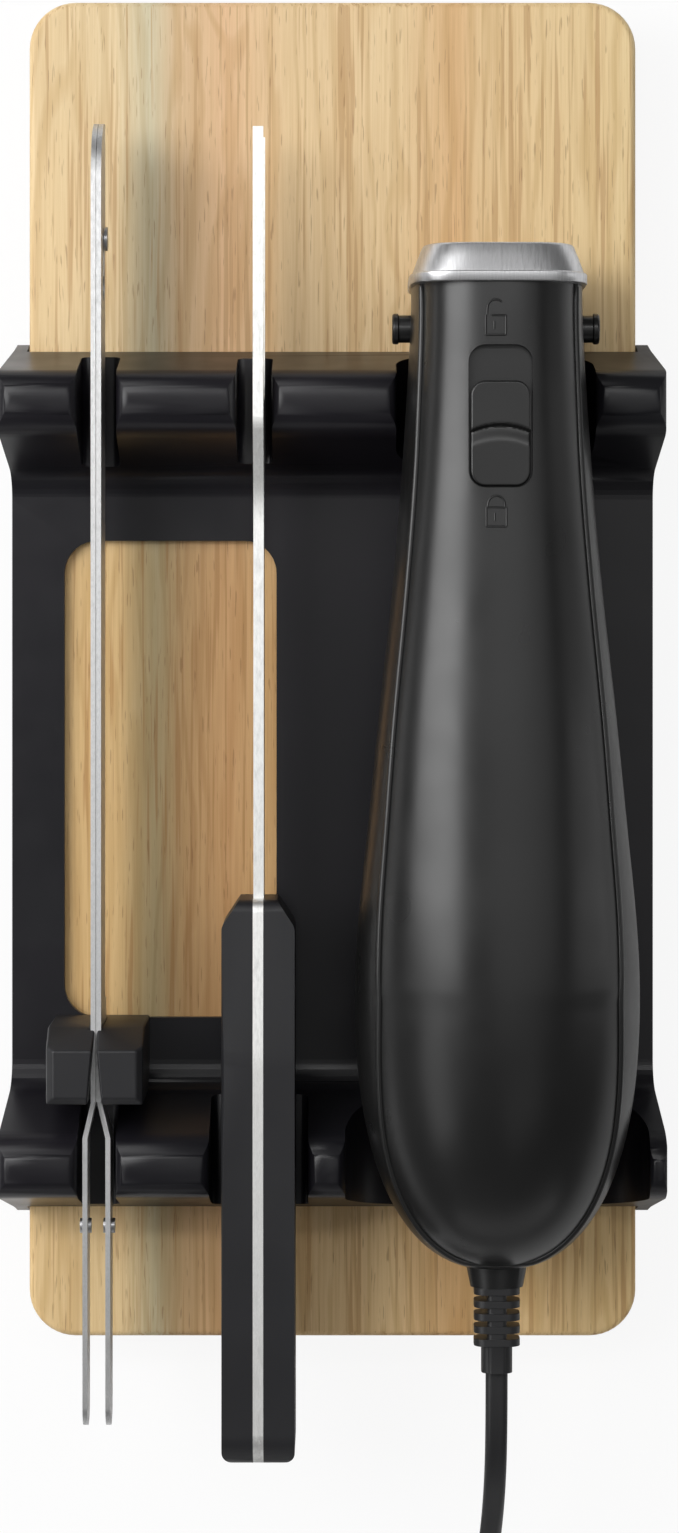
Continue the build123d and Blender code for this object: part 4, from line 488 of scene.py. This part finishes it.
def coil_points():
    """Points round the coil: six half turns in on the floor, one up, five out on top."""
    points = []
    radius, height, side = COIL_RADIUS, LOW_Z, 1
    for step in HALF_TURN_STEPS:
        rise = HIGH_Z - LOW_Z if step == 0.0 else 0.0
        middle_x = COIL_X - side * step / 2
        half_radius = radius + step / 2
        for count in range(HALF_TURN_POINTS):
            share = count / HALF_TURN_POINTS
            turn = math.pi * share
            points.append((middle_x + side * half_radius * math.cos(turn),
                           COIL_Y - side * half_radius * math.sin(turn),
                           height + rise * share))
        radius += step
        height += rise
        side = -side
    points.append((COIL_X + side * radius, COIL_Y, height))
    return points


def cord_line(points):
    """The middle line of the cord, as a curve."""
    curve = bpy.data.curves.new("cord_line", "CURVE")
    curve.dimensions = "3D"
    curve.twist_mode = "Z_UP"
    curve.resolution_u = 6
    add_spline(curve, points)
    return bpy.data.objects.new("cord_line", curve)


def cord_section():
    """Outline of the jacket round two cores, with a groove between them, as a curve."""
    lobe = CORD_THICK / 2
    spread = CORD_WIDTH / 2 - lobe
    section = bpy.data.curves.new("cord_section", "CURVE")
    section.dimensions = "2D"
    outline = section.splines.new("POLY")
    outline.points.add(SECTION_POINTS - 1)
    for count, point in enumerate(outline.points):
        turn = 2 * math.pi * count / SECTION_POINTS
        cos, sin = math.cos(turn), math.sin(turn)
        wide = math.copysign(spread * abs(cos) ** CORE_SQUARENESS, cos) + lobe * cos
        groove = GROOVE_HEIGHT + (1 - GROOVE_HEIGHT) * min(1.0, GROOVE_SLOPE * abs(cos))
        point.co = (wide * MM, lobe * sin * groove * MM, 0, 1)
    outline.use_cyclic_u = True
    return bpy.data.objects.new("cord_section", section)


def flat_cord(points):
    """Two cores side by side in one jacket: a small section curve run along the line."""
    line = cord_line(points)
    centre = bpy.data.meshes.new_from_object(line)
    stations = [vertex.co.copy() for vertex in centre.vertices]
    bpy.data.meshes.remove(centre)
    section = cord_section()
    line.data.bevel_mode = "OBJECT"
    line.data.bevel_object = section
    line.data.use_fill_caps = True
    for part in (section, line):
        bpy.context.scene.collection.objects.link(part)
    graph = bpy.context.evaluated_depsgraph_get()
    swept = bpy.data.meshes.new_from_object(line.evaluated_get(graph))
    shape = bmesh.new()
    shape.from_mesh(swept)
    bmesh.ops.remove_doubles(shape, verts=shape.verts, dist=0.001 * MM)
    bmesh.ops.recalc_face_normals(shape, faces=shape.faces)
    bpy.data.objects.remove(section)
    bpy.data.objects.remove(line)
    return as_object("power_cord", shape, CORD_RUBBER, "knife", 60.0), stations


power_cord, cord_path = flat_cord(cord_route + coil_points() + plug_run)
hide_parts("cord", "cord_coil", "cord_end")


# Knife housing

KNIFE_X = 39.3
NOSE_Y, WAIST_Y, TAIL_REACH = 106.2, -63.2, 67.0
BODY_HALF_WIDTH, BODY_LOW, BODY_HIGH = 33.9, 27.8, 89.0
BOSS_Z = 55.0
COVER_STEP = 0.7
TAIL_POWER = 2.4
TAIL_FULLNESS = 0.575

# place along the handle, half width, underside, top (as shares) and fullness of the oval
SECTION_SHARES = [
    (0.000, 0.604, 0.000, 0.845, 0.74), (0.060, 0.606, 0.000, 0.850, 0.73),
    (0.134, 0.625, 0.000, 0.853, 0.72), (0.274, 0.670, 0.045, 0.861, 0.69),
    (0.438, 0.738, 0.110, 0.886, 0.66), (0.621, 0.836, 0.115, 0.925, 0.63),
    (0.780, 0.915, 0.075, 0.960, 0.61), (0.900, 0.975, 0.030, 0.988, 0.595),
    (1.000, 1.000, 0.005, 1.000, 0.585),
]


def eased(table, along):
    """A smooth row between the rows of a table, by its first column."""
    last = len(table) - 1
    index = max(i for i in range(last) if table[i][0] <= along or i == 0)
    before, here = table[max(index - 1, 0)], table[index]
    following, beyond = table[index + 1], table[min(index + 2, last)]
    span = following[0] - here[0]
    share = (along - here[0]) / span
    square, cube = share ** 2, share ** 3
    row = []
    for a, b, c, d in zip(before[1:], here[1:], following[1:], beyond[1:]):
        slope_here = (c - a) / (following[0] - before[0]) * span if before is not here else c - b
        slope_next = (d - b) / (beyond[0] - here[0]) * span if beyond is not following else 0.0
        row.append((2 * cube - 3 * square + 1) * b + (cube - 2 * square + share) * slope_here
                   + (3 * square - 2 * cube) * c + (cube - square) * slope_next)
    return row


def section_at(y):
    """Half width, underside, top and fullness of the housing at a place along it."""
    height = BODY_HIGH - BODY_LOW
    if y >= WAIST_Y:
        along = min(max((NOSE_Y - y) / (NOSE_Y - WAIST_Y), 0.0), 1.0)
        width, low, high, fullness = eased(SECTION_SHARES, along)
        return (width * BODY_HALF_WIDTH, BODY_LOW + low * height, BODY_LOW + high * height,
                fullness)
    along = min((WAIST_Y - y) / TAIL_REACH, 1.0)
    shrink = (1 - along ** TAIL_POWER) ** (1 / TAIL_POWER)
    middle = (BODY_LOW + BODY_HIGH) / 2
    centre = middle + (BOSS_Z - middle) * along ** TAIL_POWER
    half = height / 2 * shrink
    return BODY_HALF_WIDTH * shrink, centre - half, centre + half, TAIL_FULLNESS


def oval(y, turn, inset=0.0):
    """Point of the oval section at Y; turn counts quarters from the right, over the top."""
    half_width, low, high, fullness = section_at(y)
    a = max(half_width - inset, 0.0)
    b = max((high - low) / 2 - inset, 0.0)
    z = (high + low) / 2
    quarter = int(math.floor(turn)) % 4
    share = turn - math.floor(turn)
    sx = 1 if quarter in (0, 3) else -1
    sz = 1 if quarter in (0, 1) else -1
    if sx * sz < 0:
        share = 1 - share
    rest = 1 - share
    x = a * (rest ** 3 + 3 * rest ** 2 * share + 3 * rest * share ** 2 * fullness)
    height = b * (3 * rest ** 2 * share * fullness + 3 * rest * share ** 2 + share ** 3)
    return KNIFE_X + sx * x, y, z + sz * height


PARTING_BEND_Y, PARTING_BEND_Z = -75.0, 76.0
PARTING_RISE, PARTING_FALL = 0.0421, 0.2189
PARTING_EASE = 19.4


def parting_z(y):
    """Height of the line where cover and body meet: two slopes with a long round between."""
    behind = PARTING_BEND_Y - y
    if behind >= PARTING_EASE:
        return PARTING_BEND_Z - behind * PARTING_FALL
    height = PARTING_BEND_Z + behind * PARTING_RISE
    if behind > -PARTING_EASE:
        bend = (behind + PARTING_EASE) ** 2 / (4 * PARTING_EASE)
        height -= (PARTING_RISE + PARTING_FALL) * bend
    return height


def parting_turn(y, inset):
    """Where, round the right side of the section, the parting line lies."""
    target = parting_z(y)
    return halved(-0.9, 1.0, lambda turn: oval(y, turn, inset)[2] < target)


def height_over(x, y):
    """Height of the cover's surface above a point near the middle line."""
    turn = halved(0.4, 1.6, lambda turn: oval(y, turn, COVER_STEP)[0] > x)
    return oval(y, turn, COVER_STEP)[2]


FRONT_RINGS_SHARE = 0.62
TAIL_STOP_SHARE = 0.9995


def housing_y(along):
    """Y of a ring of the housing, close together round the tail."""
    if along < FRONT_RINGS_SHARE:
        return NOSE_Y + (WAIST_Y - NOSE_Y) * along / FRONT_RINGS_SHARE
    swing = (along - FRONT_RINGS_SHARE) / (1 - FRONT_RINGS_SHARE) * math.pi / 2
    return WAIST_Y - TAIL_REACH * math.sin(swing) * TAIL_STOP_SHARE


def cover_place(along, around):
    """The cover's skin: from the parting line on the right, over the top, to the left."""
    y = housing_y(along)
    start = parting_turn(y, COVER_STEP)
    return oval(y, start + (2 - 2 * start) * around, COVER_STEP)


def rounded_slab(width, length, corner, low, high, centre_y):
    """A slab with round corners, standing on the knife's middle line."""
    shape = bmesh.new()
    bmesh.ops.create_grid(shape, x_segments=1, y_segments=1, size=0.5)
    bmesh.ops.scale(shape, vec=(width * MM, length * MM, 1), verts=shape.verts)
    bmesh.ops.bevel(shape, geom=shape.verts[:], offset=corner * MM, segments=8, profile=0.5,
                    affect="VERTICES", offset_type="OFFSET")
    bmesh.ops.translate(shape, vec=Vector((KNIFE_X, centre_y, low)) * MM, verts=shape.verts)
    raised = bmesh.ops.extrude_face_region(shape, geom=shape.faces[:])["geom"]
    lifted = [part for part in raised if isinstance(part, bmesh.types.BMVert)]
    bmesh.ops.translate(shape, vec=(0, 0, (high - low) * MM), verts=lifted)
    bmesh.ops.recalc_face_normals(shape, faces=shape.faces)
    return shape


# The lock switch's track has the photograph's place along the handle. The slab that
# cuts it reaches past the cover on both sides, and its floor is tucked under the edges.
TRACK_WIDTH, TRACK_LENGTH, TRACK_CORNER = 15.0, 33.4, 4.0
TRACK_MIDDLE = 72.5
TRACK_FLOOR, FLOOR_THICK, FLOOR_TUCK = 76.6, 1.5, 0.8
CUT_LOW, CUT_HIGH = 60.0, 95.0
COVER_WALL, COVER_EDGE = 1.8, 0.3
COVER_RINGS, COVER_COLUMNS = 128, 72

cover = skin("handle_cover", COVER_RINGS, COVER_COLUMNS, cover_place, HANDLE_BLACK, "knife",
             50.0)
shell_thickness(cover, COVER_WALL)
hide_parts("upper_housing")

track = rounded_slab(TRACK_WIDTH, TRACK_LENGTH, TRACK_CORNER, CUT_LOW, CUT_HIGH, TRACK_MIDDLE)
cut_through(cover, track, "track_cut")
bevelled(cover, COVER_EDGE, angle=45.0)

recess = rounded_slab(TRACK_WIDTH + 2 * FLOOR_TUCK, TRACK_LENGTH + 2 * FLOOR_TUCK,
                      TRACK_CORNER + FLOOR_TUCK, TRACK_FLOOR - FLOOR_THICK, TRACK_FLOOR,
                      TRACK_MIDDLE)
as_object("lock_track_floor", recess, HANDLE_BLACK, "knife")


# Welded copies of other pieces

# node, name of its copy, radius of the rounded edges (0: left sharp)
WELDED_COPIES = [
    ("storage_tray", "moulded_tray", 0.9),
    ("cutting_board", "wooden_board", 0.0),
    ("fork_scale_left", "fork_grip_left", 0.6),
    ("fork_scale_right", "fork_grip_right", 0.6),
    ("collar_left", "blade_collar_left", 0.5),
    ("collar_right", "blade_collar_right", 0.5),
    ("lower_housing", "handle_body", 0.3),
    ("release_button_left", "round_button_left", 0.25),
    ("release_button_right", "round_button_right", 0.25),
    ("strain_relief", "ribbed_cord_guard", 0.3),
]

for copied_node, copy_name, edge_radius in WELDED_COPIES:
    finished_copy(copied_node, copy_name, edge_radius)


# Carving blades

BLADE_MIDDLE_Z = 43.0
COLLAR_CUT_Y = -75.0
BLADE_EDGE = 0.12


def half_of(node, keep_front):
    """The part of a node in front of the cut inside the collar, or behind it, closed again."""
    shape = welded(node)
    whole = shape.verts[:] + shape.edges[:] + shape.faces[:]
    cut = bmesh.ops.bisect_plane(shape, geom=whole, plane_co=(0, COLLAR_CUT_Y * MM, 0),
                                 plane_no=(0, 1, 0), clear_inner=keep_front,
                                 clear_outer=not keep_front)["geom_cut"]
    rim = [part for part in cut if isinstance(part, bmesh.types.BMEdge)]
    bmesh.ops.holes_fill(shape, edges=rim)
    return flats_joined(shape)


def stored_blade(node, new_name):
    """A blade stored with its teeth down in the tray and its plain back up."""
    front = half_of(node, True)
    turned = Matrix.Translation((0, 0, 2 * BLADE_MIDDLE_Z * MM)) @ Matrix.Diagonal((1, 1, -1, 1))
    bmesh.ops.transform(front, matrix=turned, verts=front.verts)
    bmesh.ops.reverse_faces(front, faces=front.faces)
    mesh = bpy.data.meshes.new(new_name)
    front.to_mesh(mesh)
    front.free()
    both = half_of(node, False)
    both.from_mesh(mesh)
    bpy.data.meshes.remove(mesh)
    piece = as_object(new_name, both, BLADE_STEEL, BODY_OF_NODE[node])
    bevelled(piece, BLADE_EDGE, 1, 50.0)
    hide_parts(node)


stored_blade("blade_left", "riveted_blade")
stored_blade("blade_right", "sliding_blade")


# Silver nose cap

NOSE_SET_BACK = 1.5
CAP_SQUARENESS, THROAT_EXTRA = 4.6, 4.0
THROAT_HALF_WIDTH, THROAT_HALF_HEIGHT = 6.5, 13.0
THROAT_Z = 49.0
CAP_COLUMNS = 160

# place ahead of the set-back nose, inset from its outline, and narrowing of the throat (0: none)
CAP_STATIONS = [
    (-0.6, 3.0, 0.0), (-0.6, -0.45, 0.0), (-0.35, -0.62, 0.0), (1.5, -0.62, 0.0),
    (1.75, -0.40, 0.0), (1.8, 0.05, 0.0), (2.2, 0.15, 0.0), (5.2, 1.2, 0.0), (8.0, 2.3, 0.0),
    (8.45, 2.6, 0.0), (8.6, 3.1, 0.0), (8.6, 4.4, 0.0), (8.6, 0.0, 1.0), (8.3, 0.0, 1.03),
    (-4.0, 0.0, 1.03),
]


def cap_place(along, around):
    """Squared ovals that step over the lip, taper to the nose and turn in to the throat."""
    ahead, inset, throat = CAP_STATIONS[round(along * (len(CAP_STATIONS) - 1))]
    half_width, low, high, _ = section_at(NOSE_Y)
    turn = 2 * math.pi * around
    cos, sin = math.cos(turn), math.sin(turn)
    power = 2 / (CAP_SQUARENESS + THROAT_EXTRA * min(throat, 1.0))
    if throat:
        a, b = THROAT_HALF_WIDTH * (2 - throat), THROAT_HALF_HEIGHT * (2 - throat)
        z = THROAT_Z
    else:
        a, b = half_width - inset, (high - low) / 2 - inset
        z = (high + low) / 2
    return (KNIFE_X + a * math.copysign(abs(cos) ** power, cos), NOSE_Y - NOSE_SET_BACK + ahead,
            z + b * math.copysign(abs(sin) ** power, sin))


cap = skin("silver_nose_cap", len(CAP_STATIONS) - 1, CAP_COLUMNS, cap_place, CAP_SILVER, "knife",
           40.0)
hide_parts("nose_cap")


# Lock slider

SLIDER_HALF_WIDTH, SLIDER_HALF_LENGTH, SLIDER_CORNER = 7.0, 12.3, 3.5
SLIDER_Y = 68.45
SLIDER_TOP, SLIDER_STEP, SLIDER_ROUND = 80.2, 1.9, 0.55
SLIDER_FOOT = TRACK_FLOOR + 0.2
SLIDER_COLUMNS, SLIDER_ROWS = 56, 132
ARC_APEX, ARC_RADIUS = 2.2, 16.6
STEP_RUN, STEP_POWER, LIP_DROP = 0.5, 0.7, 0.12
SCOOP_RUN, SCOOP_RISE = 4.2, 0.35


def slider_place(along, around):
    """Flat upper plate, a curved edge, and the thumb's hollow running out below it."""
    s = math.sin((along * 2 - 1) * math.pi / 2)
    t = math.sin((around * 2 - 1) * math.pi / 2)
    x, y = s * SLIDER_HALF_WIDTH, t * SLIDER_HALF_LENGTH
    over_x = abs(x) - (SLIDER_HALF_WIDTH - SLIDER_CORNER)
    over_y = abs(y) - (SLIDER_HALF_LENGTH - SLIDER_CORNER)
    edge = min(SLIDER_HALF_WIDTH - abs(x), SLIDER_HALF_LENGTH - abs(y))
    if over_x > 0 and over_y > 0:
        squeeze = max(over_x, over_y) / math.hypot(over_x, over_y)
        x = math.copysign(abs(x) - over_x * (1 - squeeze), x)
        y = math.copysign(abs(y) - over_y * (1 - squeeze), y)
        edge = SLIDER_CORNER - max(over_x, over_y)
    below = ARC_APEX - ARC_RADIUS + math.sqrt(ARC_RADIUS ** 2 - x * x) - y
    z = SLIDER_TOP
    if below > 0:
        fall = min(below / STEP_RUN, 1.0)
        rise = min(below / SCOOP_RUN, 1.0)
        z -= SLIDER_STEP * (fall ** STEP_POWER) * (1.0 - SCOOP_RISE * rise * rise * (3 - 2 * rise))
    elif below > -STEP_RUN:
        z -= LIP_DROP * (1 + below / STEP_RUN) ** 2
    if edge < SLIDER_ROUND:
        inward = SLIDER_ROUND - edge
        z -= SLIDER_ROUND - math.sqrt(max(SLIDER_ROUND ** 2 - inward ** 2, 0.0))
    return KNIFE_X + x, SLIDER_Y + y, z


def thumb_slider():
    """The skin of the switch with a wall below it and a closed underside."""
    shape = bmesh.new()
    bmesh.ops.create_grid(shape, x_segments=SLIDER_COLUMNS, y_segments=SLIDER_ROWS, size=0.5)
    for vertex in shape.verts:
        vertex.co = Vector(slider_place(vertex.co.x + 0.5, vertex.co.y + 0.5)) * MM
    rim = [edge for edge in shape.edges if edge.is_boundary]
    wall = bmesh.ops.extrude_edge_only(shape, edges=rim)["geom"]
    for vertex in (part for part in wall if isinstance(part, bmesh.types.BMVert)):
        vertex.co.z = SLIDER_FOOT * MM
    bmesh.ops.holes_fill(shape, edges=[edge for edge in shape.edges if edge.is_boundary])
    bmesh.ops.recalc_face_normals(shape, faces=shape.faces)
    piece = as_object("lock_thumb_slider", shape, HANDLE_BLACK, "lock",
                      50.0)
    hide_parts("lock_slider")


thumb_slider()


# Seam bead and lock signs

BEAD_RADIUS = 0.85
BEAD_STATIONS = 60
BEAD_START, BEAD_LAST_TURN = 0.01, 0.97
BEAD_TUCK, BEAD_DROP = 0.55, 0.45


def bead_line():
    """The parting line from the nose round the tail and back, a little inside the body."""
    right = []
    for count in range(BEAD_STATIONS + 1):
        y = housing_y(BEAD_START + (1 - BEAD_START) * count / BEAD_STATIONS)
        turn = parting_turn(y, 0.0)
        if turn > BEAD_LAST_TURN:
            break
        right.append((oval(y, turn, BEAD_TUCK)[0], y, parting_z(y) - BEAD_DROP))
    left = [(2 * KNIFE_X - x, y, z) for x, y, z in reversed(right)]
    return right + left


tube("cover_seam_bead", [bead_line()], BEAD_RADIUS, "knife", HANDLE_BLACK)

SIGN_RADIUS, SIGN_LIFT = 0.26, 0.02
SIGN_CORNER, SIGN_TIGHT_CORNER = 0.5, 0.3
SHACKLE_INSET, SHACKLE_FOOT = 0.35, 0.2
SHACKLE_STEPS, OPEN_SHACKLE_STEPS = 8, 6
OPEN_GAP = 1.4
KEYHOLE_ACROSS, KEYHOLE_SHARES = 0.42, (0.30, 0.5, 0.70)


def padlock(x_left, y_low, width, body_height, shackle_rise, is_open):
    """Strokes of a padlock sign: its body in two strokes, its shackle and its keyhole."""
    right, top = x_left + width, y_low + body_height
    body = [(x_left + SIGN_CORNER, y_low), (right - SIGN_CORNER, y_low), (right, y_low),
            (right, y_low + SIGN_CORNER), (right, top - SIGN_TIGHT_CORNER), (right, top),
            (x_left + (OPEN_GAP if is_open else SIGN_TIGHT_CORNER), top)]
    side = [(x_left, top), (x_left, top - SIGN_TIGHT_CORNER), (x_left, y_low + SIGN_CORNER),
            (x_left, y_low), (x_left + SIGN_CORNER, y_low)]
    hoop_left, hoop_right = x_left + SHACKLE_INSET, right - SHACKLE_INSET
    middle, reach = (hoop_left + hoop_right) / 2, (hoop_right - hoop_left) / 2
    spring = top + shackle_rise - reach
    hoop = [(hoop_left, top + SHACKLE_FOOT)]
    for step in range((OPEN_SHACKLE_STEPS if is_open else SHACKLE_STEPS) + 1):
        turn = math.pi - math.pi * step / SHACKLE_STEPS
        hoop.append((middle + reach * math.cos(turn), spring + reach * math.sin(turn)))
    if not is_open:
        hoop.append((hoop_right, top + SHACKLE_FOOT))
    keyhole = [(x_left + width * KEYHOLE_ACROSS, y_low + body_height * share)
               for share in KEYHOLE_SHARES]
    return [[(x, y, height_over(x, y) + SIGN_LIFT) for x, y in stroke]
            for stroke in (body, side, hoop, keyhole)]


open_lock = padlock(x_left=35.8, y_low=91.4, width=4.7, body_height=4.6, shackle_rise=3.7,
                    is_open=True)
shut_lock = padlock(x_left=35.9, y_low=46.7, width=4.7, body_height=4.5, shackle_rise=2.7,
                    is_open=False)
tube("unlocked_sign", open_lock, SIGN_RADIUS, "knife", HANDLE_BLACK)
tube("locked_sign", shut_lock, SIGN_RADIUS, "knife", HANDLE_BLACK)


# Floor, backdrop and lights

FLOOR_HALF, FLOOR_DROP = 3.0, 0.0001
FLOOR_COLOR = (0.9, 0.9, 0.9)
WHITE_SHARE = 0.9
WORLD_LIGHT, WORLD_SEEN = 0.12, 1.0


def white_seen_by_camera(name, color):
    """A floor that the lights and shadows fall on, and that the camera sees as almost white."""
    finish = Finish(name, 0.9, specular=0.2)
    finish.color(color)
    path = finish.tree.nodes.new("ShaderNodeLightPath")
    glow = finish.tree.nodes.new("ShaderNodeEmission")
    glow.inputs["Strength"].default_value = 1.0
    blend = finish.tree.nodes.new("ShaderNodeMixShader")
    seen = finish.maths("MULTIPLY", path.outputs["Is Camera Ray"], WHITE_SHARE)
    finish.link(seen, blend.inputs["Fac"])
    finish.link(finish.shader.outputs[0], blend.inputs[1])
    finish.link(glow.outputs[0], blend.inputs[2])
    finish.link(blend.outputs[0], finish.tree.nodes["Material Output"].inputs["Surface"])
    return finish.material


floor_shape = bmesh.new()
bmesh.ops.create_grid(floor_shape, x_segments=4, y_segments=4, size=FLOOR_HALF)
floor_mesh = bpy.data.meshes.new("floor")
floor_shape.to_mesh(floor_mesh)
floor_shape.free()
floor = bpy.data.objects.new("floor", floor_mesh)
floor.location = (0, 0, -FLOOR_DROP)
bpy.context.scene.collection.objects.link(floor)
paint(floor, white_seen_by_camera("pale_floor", FLOOR_COLOR))

world = bpy.data.worlds.new("studio")
bpy.context.scene.world = world
world.use_nodes = True
backdrop = world.node_tree.nodes["Background"]
backdrop.inputs["Color"].default_value = (1.0, 1.0, 1.0, 1)
ray_kind = world.node_tree.nodes.new("ShaderNodeLightPath")
strength = world.node_tree.nodes.new("ShaderNodeMix")
strength.inputs["A"].default_value = WORLD_LIGHT
strength.inputs["B"].default_value = WORLD_SEEN
world.node_tree.links.new(ray_kind.outputs["Is Camera Ray"], strength.inputs["Factor"])
world.node_tree.links.new(strength.outputs["Result"], backdrop.inputs["Strength"])

# name, place, target, width, height, watts
SOFT_BOXES = [
    ("key_left", (-0.92, 0.30, 0.97), (0.0, 0.06, 0.05), 0.62, 1.1, 13.4),
    ("key_left_tail", (-0.92, -0.52, 0.97), (0.0, -0.1, 0.05), 0.70, 0.5, 1.5),
    ("overhead_right", (0.45, 0.15, 1.35), (0.2, 0.1, 0.05), 0.7, 1.1, 1.6),
    ("overhead_tail", (0.45, -0.65, 1.35), (0.2, -0.1, 0.05), 0.7, 0.5, 0.35),
    ("rim_right", (1.05, 0.0, 0.15), (0.05, 0.0, 0.05), 0.26, 1.2, 1.1),
    ("far_end", (-0.50, 0.80, 0.92), (0.0, 0.0, 0.05), 0.9, 0.25, 2.8),
    ("far_strip", (0.0, 0.47, 1.28), (0.0, 0.0, 0.05), 1.0, 0.12, 2.5),
    ("near_end", (0.15, -1.05, 0.32), (0.0, -0.05, 0.05), 1.3, 0.25, 0.7),
]

for box_name, box_place, box_target, box_width, box_height, box_power in SOFT_BOXES:
    lamp = bpy.data.lights.new(box_name, "AREA")
    lamp.shape = "RECTANGLE"
    lamp.size = box_width
    lamp.size_y = box_height
    lamp.energy = box_power
    box = bpy.data.objects.new(box_name, lamp)
    aim = Vector(box_target) - Vector(box_place)
    box.rotation_euler = aim.to_track_quat("-Z", "Y").to_euler()
    box.location = box_place
    bpy.context.scene.collection.objects.link(box)

bpy.context.scene.view_settings.view_transform = "Standard"
